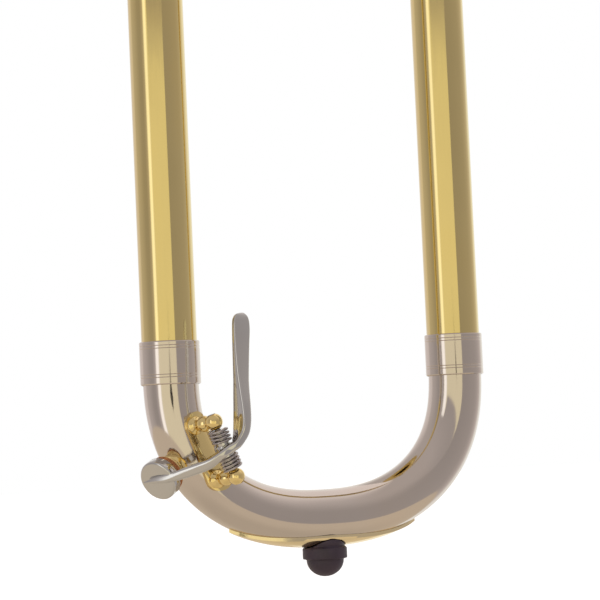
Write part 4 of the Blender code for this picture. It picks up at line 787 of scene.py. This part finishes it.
class TromboneEndBow(bpy.types.Operator):
    """Build the end bow, its guard, bumper, water nipple and the key's saddle with its posts."""

    bl_idname = "trombone.end_bow"
    bl_label = "End bow"

    def execute(self, context):
        slide = sizes("slide")
        bow = sizes("bow")
        key = sizes("key")
        seat, out = nipple_place()
        start = slide.springline - slide.gap / 2
        ends = [Vector((-slide.spacing / 2, 0, height)) for height in (start, start - 1.5 * mm)]
        route = ends + bow_route(4, 176, 72) + [Vector((-point.x, 0, point.z)) for point in reversed(ends)]
        bend = tube_along("end_bow_tube", route, slide.tube_radius, 64, bow.wall)
        combine(bend, rod(1.8, 14, 4, seat, out), "DIFFERENCE")
        dress(bend, "outer_slide", "nickel_silver", ["end_bow"])

        clear = slide.tube_radius + slide.gap
        guard = tube_along("bow_guard_plate", bow_route(35, 145, 48), clear + bow.guard_wall, 64)
        combine(guard, guard_outline(), "INTERSECT")
        inner = tube_along("inner", bow_route(15, 165, 72), slide.tube_radius + 0.04 * mm, 64)
        combine(guard, inner, "DIFFERENCE", keep=True)
        dress(guard, "outer_slide", "lacquered_brass", ["bow_guard"], 50, "guard_brass")

        place = Vector((0, 0, slide.springline - bow.drop - slide.tube_radius + 2.0 * mm))
        profile = [(0, 4.0), (6.3, 4.0), (6.35, -1.2), (6.25, -1.9), (5.95, -2.3), (5.9, -2.6), (6.2, -2.95),
                   (6.5, -3.2), (6.55, -3.5), (6.55, -6.0), (6.45, -6.25), (5.75, -6.4)]
        profile += [(5.5 * math.cos(angle), -6.6 - 4.9 * math.sin(angle))
                    for angle in (math.radians(turn) for turn in range(0, 91, 9))]
        bumper = lathe("rubber_bumper", profile, place)
        over = tube_along("over", bow_route(60, 120, 40), clear + bow.guard_wall + slide.gap, 64)
        combine(bumper, over, "DIFFERENCE")
        dress(bumper, "outer_slide", "rubber", ["bow_bumper"])

        profile = [(4.4, 11.0), (4.8, 10.9), (4.95, 10.65), (4.85, 10.4), (4.3, 10.1), (4.0, 9.7),
                   (3.95, 9.2), (4.2, 8.7), (4.2, 6.4), (2.2, 6.4), (2.2, 11.0)]
        nipple = lathe("water_nipple_ring", profile, seat, out, 48)
        combine(nipple, inner, "DIFFERENCE", keep=True)
        dress(nipple, "outer_slide", "polished_brass", ["water_nipple"])

        middle, outward, _, axis = key_frame()
        plate = tube_along("key_saddle", bow_route(4, 62, 40), clear + 0.8 * mm, 64)
        combine(plate, saddle_outline(), "INTERSECT")
        combine(plate, inner, "DIFFERENCE")
        for half in (-key.post_spacing / 2, key.post_spacing / 2):
            combine(plate, hinge_post(middle + axis * half, outward), "UNION")
        combine(plate, rod(1.1, 16, -16, middle, axis), "DIFFERENCE")
        dress(plate, "outer_slide", "polished_brass", ["water_key_saddle"], 40)
        return {"FINISHED"}


def guard_outline():
    """A tall lens-shaped block that cuts the guard out of a sleeve round the bow."""
    bow = sizes("bow")
    steps = 24
    points = []
    for way in (1, -1):
        for step in range(steps):
            share = 2 * step / steps - 1
            points.append((way * bow.guard_half_length * share,
                           -way * bow.guard_half_width * (1 - share * share) ** 0.8))
    return block(points, sizes("slide").springline - bow.drop - 28.0 * mm, 30.0 * mm)


def saddle_outline():
    """A long round-ended block that cuts the key's saddle plate."""
    middle, outward, across, axis = key_frame()
    end = 3.85 * mm
    half = 12.0 * mm - end
    points = []
    for centre, first in ((half, 0.0), (-half, math.pi)):
        for step in range(13):
            angle = first + math.pi * step / 12
            points.append((end * math.cos(angle), centre + end * math.sin(angle)))
    piece = block(points, -6.0 * mm, 12.0 * mm)
    piece.rotation_euler = Matrix((across, axis, across.cross(axis))).transposed().to_euler()
    piece.location = middle - outward * sizes("key").post_length - across * mm
    return apply_place(piece)


def hinge_post(place, outward):
    """One turned post: a ball over a bulb, a neck and a collar."""
    foot = -sizes("key").post_length / mm
    profile = [(0, 2.45), (0.9, 2.28), (1.7, 1.77), (2.2, 1.05), (2.45, 0.1), (2.25, -0.95), (1.75, -1.75),
               (1.35, -2.35), (1.3, -3.0), (1.6, -3.5), (2.1, -4.1), (2.3, -4.9), (2.25, -5.6), (1.9, -6.3),
               (1.45, -7.0), (1.4, -8.4), (1.7, -9.0), (2.35, -9.3), (2.6, -9.6), (2.6, foot), (0, foot)]
    return lathe("post", profile, place, outward, 40)


# Out from the hinge, across it and along it, then width and depth, from the cup to the touch's tip
LEVER_SECTIONS = (
    (-17.1, 18.4, 0.7, 0.3, 0.9), (-13.9, 16.3, 1.1, 1.8, 1.8), (-9.9, 13.6, 1.7, 2.6, 2.4),
    (-5.2, 10.0, 1.8, 3.0, 2.8), (-0.4, 6.5, 1.6, 2.9, 3.0), (2.5, 3.8, 0.5, 2.2, 2.8),
    (3.4, 1.1, -0.1, 2.5, 3.2), (4.5, -1.1, -0.5, 2.3, 3.0), (4.4, -2.9, -1.6, 2.5, 4.4),
    (4.2, -4.5, -3.0, 2.6, 5.7), (4.1, -6.1, -5.5, 2.7, 6.2), (4.2, -7.7, -9.0, 3.0, 5.6),
    (4.0, -9.8, -13.5, 3.5, 4.4), (3.8, -12.4, -18.7, 4.2, 3.0), (3.5, -15.6, -24.8, 4.9, 2.1),
    (3.4, -17.8, -29.0, 5.3, 1.7), (3.3, -18.9, -31.3, 5.0, 1.6), (3.25, -19.35, -32.4, 4.0, 1.5),
    (3.2, -19.6, -33.0, 2.6, 1.35), (3.2, -19.68, -33.25, 1.2, 1.1),
)


class TromboneWaterKey(bpy.types.Operator):
    """Build the water key's lever with its cup, the cork, the hinge screw and the wire spring."""

    bl_idname = "trombone.water_key"
    bl_label = "Water key"

    def execute(self, context):
        middle, outward, across, axis = key_frame()

        def place(out, over, along):
            return middle + outward * (out * mm) + across * (over * mm) + axis * (along * mm)

        rows = refined(LEVER_SECTIONS, 4)
        centres = [place(*row[:3]) for row in rows]
        padded = [centres[0], *centres, centres[-1]]
        sections = []
        for centre, before, after, row in zip(centres, padded, padded[2:], rows):
            tangent = (after - before).normalized()
            side = outward.cross(tangent).normalized()
            sections.append((centre, side, tangent.cross(side), row[3] * mm, row[4] * mm))
        lever = loft("water_key_arm", sections)
        profile = [(0, 1.35), (2.2, 1.35), (2.4, 1.1), (2.4, -1.1), (2.2, -1.35), (0, -1.35)]
        combine(lever, lathe("barrel", profile, middle, axis, 40), "UNION")
        combine(lever, rod(1.9, 5.7, -5.7, middle, axis, 40), "UNION")
        seat, out = nipple_place()
        profile = [(0, 16.4), (5.3, 16.4), (5.65, 16.3), (5.82, 16.05), (5.85, 15.7), (5.85, 13.4),
                   (5.7, 13.2), (4.8, 13.2), (4.8, 14.4), (0, 14.4)]
        combine(lever, lathe("cup", profile, seat, out), "UNION")
        combine(lever, rod(1.1, 16, -16, middle, axis), "DIFFERENCE")
        close_seams(lever)
        dress(lever, "water_key", "nickel_silver", ["water_key_lever"], 40, "key_nickel")

        profile = [(0, 14.1), (4.7, 14.1), (4.7, 13.15), (5.2, 13.05), (5.35, 12.7), (5.35, 11.6),
                   (5.2, 11.25), (4.9, 11.1), (0, 11.1)]
        dress(lathe("key_cork", profile, seat, out, 48), "water_key", "cork", ["water_key_cork"])

        profile = [(0, 10.55), (0.55, 10.55), (0.8, 10.35), (0.8, -10.35), (0.55, -10.55), (0, -10.55)]
        pin = lathe("key_hinge_screw", profile, middle, axis, 24)
        dress(pin, "outer_slide", "spring_steel", ["water_key_screw"])

        line = [place(*point) for point in spring_points()]
        spring = tube_along("key_spring", line, sizes("key").wire_radius, 12)
        dress(spring, "outer_slide", "spring_steel", ["water_key_spring"], 60)
        return {"FINISHED"}


def spring_points():
    """The spring's wire: a leg, a coil, a bridge under the barrel, a coil and a leg, in millimetres."""
    turns = 4
    per_turn = 28
    radius = sizes("key").coil_radius / mm
    upper = []
    for step in range(turns * per_turn + 1):
        angle = math.pi + math.tau * step / per_turn
        upper.append(Vector((radius * math.cos(angle), radius * math.sin(angle), 1.95 + step / per_turn)))
    end = upper[-1]
    upper += [end + Vector(move) for move in ((-0.05, -0.6, 0.1), (-0.3, -1.3, 0.15), (-0.65, -1.9, 0.18),
                                              (-1.1, -2.4, 0.2), (-2.6, -2.75, 0.2), (-6.0, -3.3, 0.2))]
    bridge = [Vector((-2.8, 0.35, 1.75)), Vector((-3.0, 0.8, 1.4)), Vector((-3.08, 1.05, 0.9)),
              Vector((-3.1, 1.1, 0.4))]
    half = list(reversed(upper)) + bridge
    return half + [Vector((point.x, point.y, -point.z)) for point in reversed(half)]


# The bell section


def bell_radius(height):
    """The bell's outer radius at a height, in millimetres."""
    bell = sizes("bell")
    flare = 31.5
    return (bell.rim_radius - bell.bead) / mm * (flare / (height - bell.rim_height / mm + flare)) ** 0.85


class TromboneBell(bpy.types.Operator):
    """Spin the bell with its rolled rim."""

    bl_idname = "trombone.bell"
    bl_label = "Bell"

    def execute(self, context):
        bell = sizes("bell")
        low = bell.rim_height / mm
        rise = bell.tail_top / mm - low
        wall = 0.6
        steps = 60
        heights = [low + rise * (1 - step / steps) ** 2.2 for step in range(steps + 1)]
        outside = [Vector((bell_radius(height), height)) for height in heights]
        inside = []
        for index, point in enumerate(outside):
            along = (outside[min(index + 1, steps)] - outside[max(index - 1, 0)]).normalized()
            inside.append(point + Vector((along.y, -along.x)) * wall)
        rim = bell_radius(low)
        bead = [Vector((rim + out, low + up)) for out, up in
                ((-0.4, 1.0), (0.2, 1.25), (0.7, 0.7), (0.9, 0.0), (0.75, -0.9), (0.2, -1.7), (-0.6, -2.0),
                 (-1.4, -1.9), (-2.1, -1.3), (-2.4, -0.6))]
        profile = outside[:-1] + bead + inside[-2::-1]
        piece = lathe("bell_flare", profile, line_root() + Y_AXIS * bell.offset, steps=128)
        dress(piece, "bell_section", "lacquered_brass", ["bell"], 45)
        return {"FINISHED"}


class TromboneTubing(bpy.types.Operator):
    """Bend the gooseneck, link tubes, valve loops and tuning crooks, and turn the main slide's sleeves."""

    bl_idname = "trombone.tubing"
    bl_label = "Bell section tubing"

    def execute(self, context):
        bell = sizes("bell")
        rise = valve_place()[1]
        first = bell.first_valve
        second = bell.second_valve

        start = 53.5 * mm
        route = Route((0, 0, start), Z_AXIS)
        route.forward(first - rise - start)
        route.bend(-EIGHTH, bell.knuckle)
        route.forward(bell.port_run)
        pipe("gooseneck", route.points)

        route = port_route(first, -1, 1)
        route.bend(-EIGHTH, bell.knuckle)
        route.forward(second - first - 2 * rise)
        route.bend(-EIGHTH, bell.knuckle)
        route.forward(bell.port_run)
        pipe("valve_link_tube", route.points)

        route = port_route(second, -1, 1)
        route.bend(-EIGHTH, bell.knuckle)
        route.forward(276.0 * mm - second - rise)
        pipe("main_leg_tube", route.points)

        top = bell.main_top
        tuning_sleeve("narrow_slide_sleeve", 0, top / mm, 271.0, 8.4)
        tuning_sleeve("wide_slide_sleeve", bell.offset, top / mm, 268.5, 10.9)
        crook("main_tuning_crook", "main_tuning_slide", 0.0, (0.0, bell.offset), top, 66.0, (8.0, 8.9),
              (10.5, 11.4))

        for tag, height, plane, top in (("first_valve", first, -24.0 * mm, 452.0 * mm),
                                        ("second_valve", second, 24.0 * mm, 420.0 * mm)):
            for part, sign in (("upper", 1), ("lower", -1)):
                route = port_route(height, 1, sign)
                route.bend(sign * EIGHTH, bell.loop_bend, 24)
                near = route.place.y
                route.forward(12.0 * mm)
                if sign < 0:
                    route.bend(math.pi, bell.loop_gap / 2, 40)
                route.forward(top - route.place.z)
                pipe(f"{tag}_loop_{part}_tube", shifted(route.points, plane))
            legs = (near, near + bell.loop_gap)
            crook(f"{tag}_tuning_crook", f"{tag}_tuning_slide", plane, legs, top, 85.0, (6.7, 7.6), (6.7, 7.6))
        return {"FINISHED"}


def ease(share):
    """A smooth step from 0 to 1."""
    share = min(max(share, 0.0), 1.0)
    return share * share * (3 - 2 * share)


def shifted(points, plane):
    """Move a valve's loop sideways into its plane along its first bend."""
    bell = sizes("bell")
    moved = []
    travelled = 0.0
    for before, point in zip(points[:1] + points, points):
        travelled += (point - before).length
        share = ease((travelled - bell.port_run) / (bell.loop_bend * EIGHTH))
        moved.append(point + X_AXIS * (plane * share))
    return moved


def pipe(node, points):
    """Draw one fixed brass tube of the bell section."""
    bell = sizes("bell")
    line = [line_root() + point for point in points]
    piece = tube_along(f"{node}_skin", line, bell.tube_radius, 40, bell.tube_wall)
    dress(piece, "bell_section", "lacquered_brass", [node])


def tuning_sleeve(node, y, top, foot, bore):
    """Turn a sleeve of the main tuning slide, with a raised band at each end, in millimetres."""
    outer = bore + 0.6
    proud = outer + 0.45
    profile = [(bore, top), (proud - 0.3, top), (proud, top - 0.3), (proud, top - 3.2), (outer, top - 3.7),
               (outer, foot + 3.7), (proud, foot + 3.2), (proud, foot + 0.3), (proud - 0.3, foot),
               (bore, foot)]
    sleeve = lathe(f"{node}_skin", profile, line_root() + Y_AXIS * y)
    dress(sleeve, "bell_section", "nickel_silver", [node], TURNED)


def crook(node, body, plane, legs, sleeve_end, leg_length, near, far):
    """A U of brass tube. Its two legs, thinner than its bend, go down into sleeves."""
    steps = 48
    foot = sleeve_end - leg_length * mm
    shoulder = sleeve_end + 0.5 * mm
    wide = shoulder + 1.0 * mm
    reach = (legs[1] - legs[0]) / 2
    rows = [(legs[0], foot, near[0]), (legs[0], shoulder, near[0]), (legs[0], wide, near[1])]
    for step in range(steps + 1):
        angle = math.pi * step / steps
        y = legs[0] + reach * (1 - math.cos(angle))
        z = sleeve_end + 10.5 * mm + reach * math.sin(angle)
        rows.append((y, z, near[1] + (far[1] - near[1]) * step / steps))
    rows += [(legs[1], wide, far[1]), (legs[1], shoulder, far[0]), (legs[1], foot, far[0])]
    line = [line_root() + Vector((plane, y, z)) for y, z, _ in rows]
    piece = tube_along(f"{node}_skin", line, near[1] * mm, 40, sizes("bell").tube_wall,
                       [radius * mm for _, _, radius in rows])
    dress(piece, body, "lacquered_brass", [node])


class TromboneValves(bpy.types.Operator):
    """Turn each valve's casing with its four sockets and its cap, and the braces to the bell."""

    bl_idname = "trombone.valves"
    bl_label = "Valve casings and braces"

    def execute(self, context):
        bell = sizes("bell")
        gap = sizes("slide").gap / mm
        ways = [Vector((0, math.cos(angle), math.sin(angle)))
                for angle in (math.pi / 4 + math.pi / 2 * quarter for quarter in range(4))]
        # The pieces that cut or join each other have uneven steps, so that no two edges fall together.
        for tag, height in (("first_valve", bell.first_valve), ("second_valve", bell.second_valve)):
            centre = line_root() + Vector((0, valve_place()[0], height))
            half = [(0, 18.0), (19.3, 18.0), (19.7, 17.6), (19.7, 15.4), (19.4, 15.1)]
            profile = half + [(radius, -along) for radius, along in reversed(half)]
            casing = lathe(f"{tag}_casing_skin", profile, centre, X_AXIS, 71)
            for way in ways:
                profile = [(0, 24.0), (8.9, 24.0), (9.0, 23.8), (9.0, 12.0), (0, 12.0)]
                combine(casing, lathe("socket", profile, centre, way, 47), "UNION")
            combine(casing, rod(17.7, 19, -19, centre, X_AXIS, 73), "DIFFERENCE")
            for way in ways:
                profile = [(0, 25.0), (8.3, 25.0), (8.3, 20.5), (6.5, 20.5), (6.5, 13.0), (0, 13.0)]
                combine(casing, lathe("way", profile, centre, way, 45), "DIFFERENCE")
            close_seams(casing)
            dress(casing, "bell_section", "lacquered_brass", [f"{tag}_casing"])

            profile = [(0, 21.7), (4.6, 21.7), (5.2, 22.0), (6.4, 22.0), (7.0, 21.7), (14.6, 21.7),
                       (15.4, 22.0), (16.8, 22.0), (18.3, 21.6), (19.3, 20.9), (19.7, 20.2), (19.7, 18.3),
                       (17.0, 18.3), (17.0, 16.4), (3.3, 16.4), (3.3, 20.0), (0, 20.0)]
            cap = lathe(f"{tag}_cap_skin", profile, centre, X_AXIS, 72)
            dress(cap, "bell_section", "nickel_silver", [f"{tag}_cap"], 20)

        foot = [(7.0, 2.0), (6.2, 2.9), (4.6, 5.0), (3.6, 7.4), (3.2, 9.5)]
        for node, height, near, far in (("front_bell_brace", 78.0, 8.0, None),
                                        ("rear_bell_brace", 306.0, 9.0, 11.5)):
            reach = bell.offset / mm - (far or bell_radius(height))
            profile = [(0, reach + 3.0), (7.0, reach + 3.0)]
            profile += [(radius, reach - step) for radius, step in foot] + [(3.0, reach * 0.6)]
            profile += [(radius, near + step) for radius, step in reversed(foot)]
            profile += [(7.0, near - 3.0), (0, near - 3.0)]
            root = line_root() + Z_AXIS * (height * mm)
            brace = lathe(f"{node}_skin", profile, root, Y_AXIS, 48)
            combine(brace, rod(near + gap, 20, -20, root, steps=64), "DIFFERENCE")
            outline = [((far or bell_radius(height + rise)) + gap, rise) for rise in range(20, -21, -4)]
            seat = lathe("seat", [(0, 20)] + outline + [(0, -20)], root + Y_AXIS * bell.offset, steps=96)
            combine(brace, seat, "DIFFERENCE")
            close_seams(brace)
            dress(brace, "bell_section", "nickel_silver", [node])
        return {"FINISHED"}


# Solids that are copied and refined, with the rounding of their edges in millimetres
FITTINGS = {"slide_lock_ring": 0.15, "bell_lock_nut": 0.2, "slide_receiver": 0.15, "lever_bracket": 0.2,
            "lever_pivot_screw": 0.1}
for valve in ("first_valve", "second_valve"):
    FITTINGS.update({f"{valve}_bearing_plate": 0.2, f"{valve}_rotor": 0, f"{valve}_stop_arm": 0.2,
                     f"{valve}_rod": 0.1, f"{valve}_thumb_lever": 0.3})


class TromboneFittings(bpy.types.Operator):
    """Finish the valves' moving pieces, the levers, the slide receiver, the lock nut and the lock ring."""

    bl_idname = "trombone.fittings"
    bl_label = "Bell section fittings"

    def execute(self, context):
        for node, edge in FITTINGS.items():
            refine_solid(node, edge)
        return {"FINISHED"}


# The stage


class TromboneStage(bpy.types.Operator):
    """Set the floor, the studio round the object and the camera."""

    bl_idname = "trombone.stage"
    bl_label = "Stage"

    def execute(self, context):
        context.scene.view_settings.view_transform = "Standard"
        add_camera(context.scene)
        add_floor()
        add_studio(context.scene)
        return {"FINISHED"}


def add_camera(scene):
    """The camera, where the photograph was taken from."""
    place = (-0.267453, -0.591019, -0.677450)
    look = Vector((0.4059771, 0.9118395, 0.0610844))
    right = Vector((0.9137334, -0.4037925, -0.0451991))
    up = Vector((0.0165489, -0.0741647, 0.9971087))
    bpy.ops.object.camera_add()
    camera = bpy.context.object
    camera.name = "photo_camera"
    camera.matrix_world = Matrix.Translation(place) @ Matrix((right, up, -look)).transposed().to_4x4()
    camera.data.lens = 131.72
    camera.data.sensor_width = 36.0
    camera.data.clip_start = 0.02
    camera.data.clip_end = 60
    scene.camera = camera


def mixed(tree, factor, first, second):
    """One shader or the other, by a factor."""
    return add_node(tree, "MixShader", {"Fac": factor, 1: first, 2: second}).outputs["Shader"]


def add_floor():
    """A wide pale floor below the drawn-out slide, which reflections see through."""
    bpy.ops.object.select_all(action="DESELECT")
    bpy.ops.mesh.primitive_plane_add(size=60, location=(0, 0, -1.36))
    floor = bpy.context.object
    floor.name = "studio_floor"
    material, tree, shader = new_finish("pale_floor")
    tones = shades(sizes("colours").ground, (0.3, 0.98), (0.7, 1.02))
    feed(tree, shader, {"Base Color": add_ramp(tree, add_noise(tree, 3, 3), tones), "Roughness": 0.9})
    rays = add_node(tree, "LightPath").outputs
    pale = add_node(tree, "BsdfDiffuse", {"Color": (0.9, 0.9, 0.9, 1)}).outputs["BSDF"]
    glow = add_node(tree, "Emission", {"Strength": 0.62}).outputs["Emission"]
    lit = add_node(tree, "AddShader", {0: pale, 1: glow}).outputs["Shader"]
    clear = add_node(tree, "BsdfTransparent").outputs["BSDF"]
    direct = mixed(tree, rays["Is Camera Ray"], shader.outputs["BSDF"], lit)
    surface = mixed(tree, rays["Is Glossy Ray"], direct, clear)
    feed(tree, tree.nodes["Material Output"], {"Surface": surface})
    floor.data.materials.append(material)


def add_studio(scene):
    """The studio by direction: a warm panel behind the camera, grey sides, a light strip and a white back."""
    world = bpy.data.worlds.new("studio")
    scene.world = world
    world.use_nodes = True
    tree = world.node_tree
    tree.nodes.clear()
    where = add_node(tree, "TexCoord").outputs["Generated"]

    def dot(direction):
        return add_node(tree, "VectorMath", {0: where, 1: direction},
                        operation="DOT_PRODUCT").outputs["Value"]

    def maths(operation, *values):
        return add_node(tree, "Math", dict(enumerate(values)), operation=operation).outputs["Value"]

    def smooth(value, low, high):
        return add_node(tree, "MapRange", {"From Min": low, "From Max": high, "Value": value},
                        interpolation_type="SMOOTHSTEP").outputs["Result"]

    def blend(factor, first, second):
        tones = [(*tone, 1) if isinstance(tone, tuple) else tone for tone in (first, second)]
        return add_node(tree, "Mix", {"Factor": factor, "A": tones[0], "B": tones[1]},
                        data_type="RGBA").outputs["Result"]

    # Directions as an angle round the object, with the camera at 0, and a level above the horizon, in degrees
    toward = dot((-0.4067, -0.9136, 0))
    aside = dot((0.9136, -0.4067, 0))
    turn = maths("ADD", maths("DIVIDE", maths("ARCTAN2", aside, toward), math.tau), 0.5)
    angle = maths("MULTIPLY", maths("SUBTRACT", turn, 0.5), 360.0)
    level = maths("MULTIPLY", maths("ARCSINE", dot((0, 0, 1))), 180 / math.pi)

    tones = sizes("colours")
    panel = tuple(tones.panel)
    ground = tuple(tones.ground)
    white = (1.0, 0.985, 0.95)
    strip_white = (1.45, 1.42, 1.4)

    def grey(factor):
        return shade(tones.side, factor)

    horizon = add_ramp(tree, turn, [(degrees / 360 + 0.5, tone) for degrees, tone in (
        (-180, white), (-150, grey(1.75)), (-126, grey(1.7)), (-118, grey(1.3)), (-96, grey(1.12)),
        (-80, grey(0.92)), (-66, grey(0.9)), (-54, grey(1.25)), (-36, panel), (-30, panel), (24, panel),
        (28, panel), (29.3, grey(0.88)), (60, grey(0.93)), (90, grey(1.0)), (108, grey(1.15)),
        (124, grey(1.45)), (140, white), (180, white))])
    strip = maths("MULTIPLY", smooth(angle, -56, -48), smooth(angle, -36, -43))
    lit = blend(strip, horizon, strip_white)

    # Above the panel and the strip, and over the whole studio, the light is grey.
    inside = maths("MULTIPLY", smooth(angle, -58, -52), smooth(angle, 33, 28))
    above = blend(smooth(turn, 0.62, 0.82), grey(1.0), grey(1.75))
    top = maths("SUBTRACT", level, maths("MULTIPLY", smooth(angle, -34, -40), 13.5))
    high = blend(maths("MULTIPLY", smooth(top, 9.5, 11.5), inside), lit, above)
    high = blend(smooth(level, 12, 52), high, blend(smooth(turn, 0.62, 0.86), grey(1.15), grey(2.0)))

    # The ground's edge leans a little. A small dark mark stands in the middle of the panel.
    edge = maths("SUBTRACT", level, maths("MULTIPLY", angle, -0.09))
    low = blend(smooth(edge, -21.5, -23.0), high, blend(smooth(level, -40, -70), ground, shade(ground, 0.87)))
    slope = maths("MULTIPLY", maths("ABSOLUTE", maths("ADD", level, 1.2)), 1.7)
    width = maths("SUBTRACT", 6.0, slope)
    mark = smooth(maths("SUBTRACT", width, maths("ABSOLUTE", maths("SUBTRACT", angle, 2.5))), -0.4, 0.4)
    seen = blend(mark, low, grey(0.08))

    surround = add_node(tree, "Background", {"Color": seen, "Strength": 1.0}).outputs["Background"]
    backdrop = add_node(tree, "Background", {"Color": (1, 1, 1, 1), "Strength": 1.0}).outputs["Background"]
    camera_ray = add_node(tree, "LightPath").outputs["Is Camera Ray"]
    add_node(tree, "OutputWorld", {"Surface": mixed(tree, camera_ray, surround, backdrop)})


GROUPS = {
    "slide": TromboneSlideSizes,
    "bow": TromboneBowSizes,
    "key": TromboneKeySizes,
    "bell": TromboneBellSizes,
    "colours": TromboneColours,
}
OPERATORS = (TromboneFinishes, TromboneOuterSlide, TromboneInnerSlide, TromboneMouthpiece, TromboneEndBow,
             TromboneWaterKey, TromboneBell, TromboneTubing, TromboneValves, TromboneFittings, TromboneStage)


class TrombonePanel(bpy.types.Panel):
    """Lists the trombone's sizes, colours and operators."""

    bl_idname = "VIEW3D_PT_trombone"
    bl_label = "Bass Trombone"
    bl_space_type = "VIEW_3D"
    bl_region_type = "UI"
    bl_category = "Trombone"

    def draw(self, context):
        layout = self.layout
        for name, group in GROUPS.items():
            column = layout.column(align=True)
            column.label(text=group.__doc__)
            for key in group.__annotations__:
                column.prop(sizes(name), key)
        for operator in OPERATORS:
            layout.operator(operator.bl_idname)


def register():
    """Register the classes and their settings."""
    for group in GROUPS.values():
        bpy.utils.register_class(group)
    for operator in OPERATORS:
        bpy.utils.register_class(operator)
    bpy.utils.register_class(TrombonePanel)
    for name, group in GROUPS.items():
        setattr(bpy.types.Scene, "trombone_" + name, bpy.props.PointerProperty(type=group))


def unregister():
    """Take the classes and their settings away."""
    for name in GROUPS:
        delattr(bpy.types.Scene, "trombone_" + name)
    bpy.utils.unregister_class(TrombonePanel)
    for operator in reversed(OPERATORS):
        bpy.utils.unregister_class(operator)
    for group in reversed(list(GROUPS.values())):
        bpy.utils.unregister_class(group)


def main():
    """Register the settings and build every piece."""
    register()
    for operator in OPERATORS:
        group, action = operator.bl_idname.split(".")
        getattr(getattr(bpy.ops, group), action)()


if __name__ == "__main__":
    main()
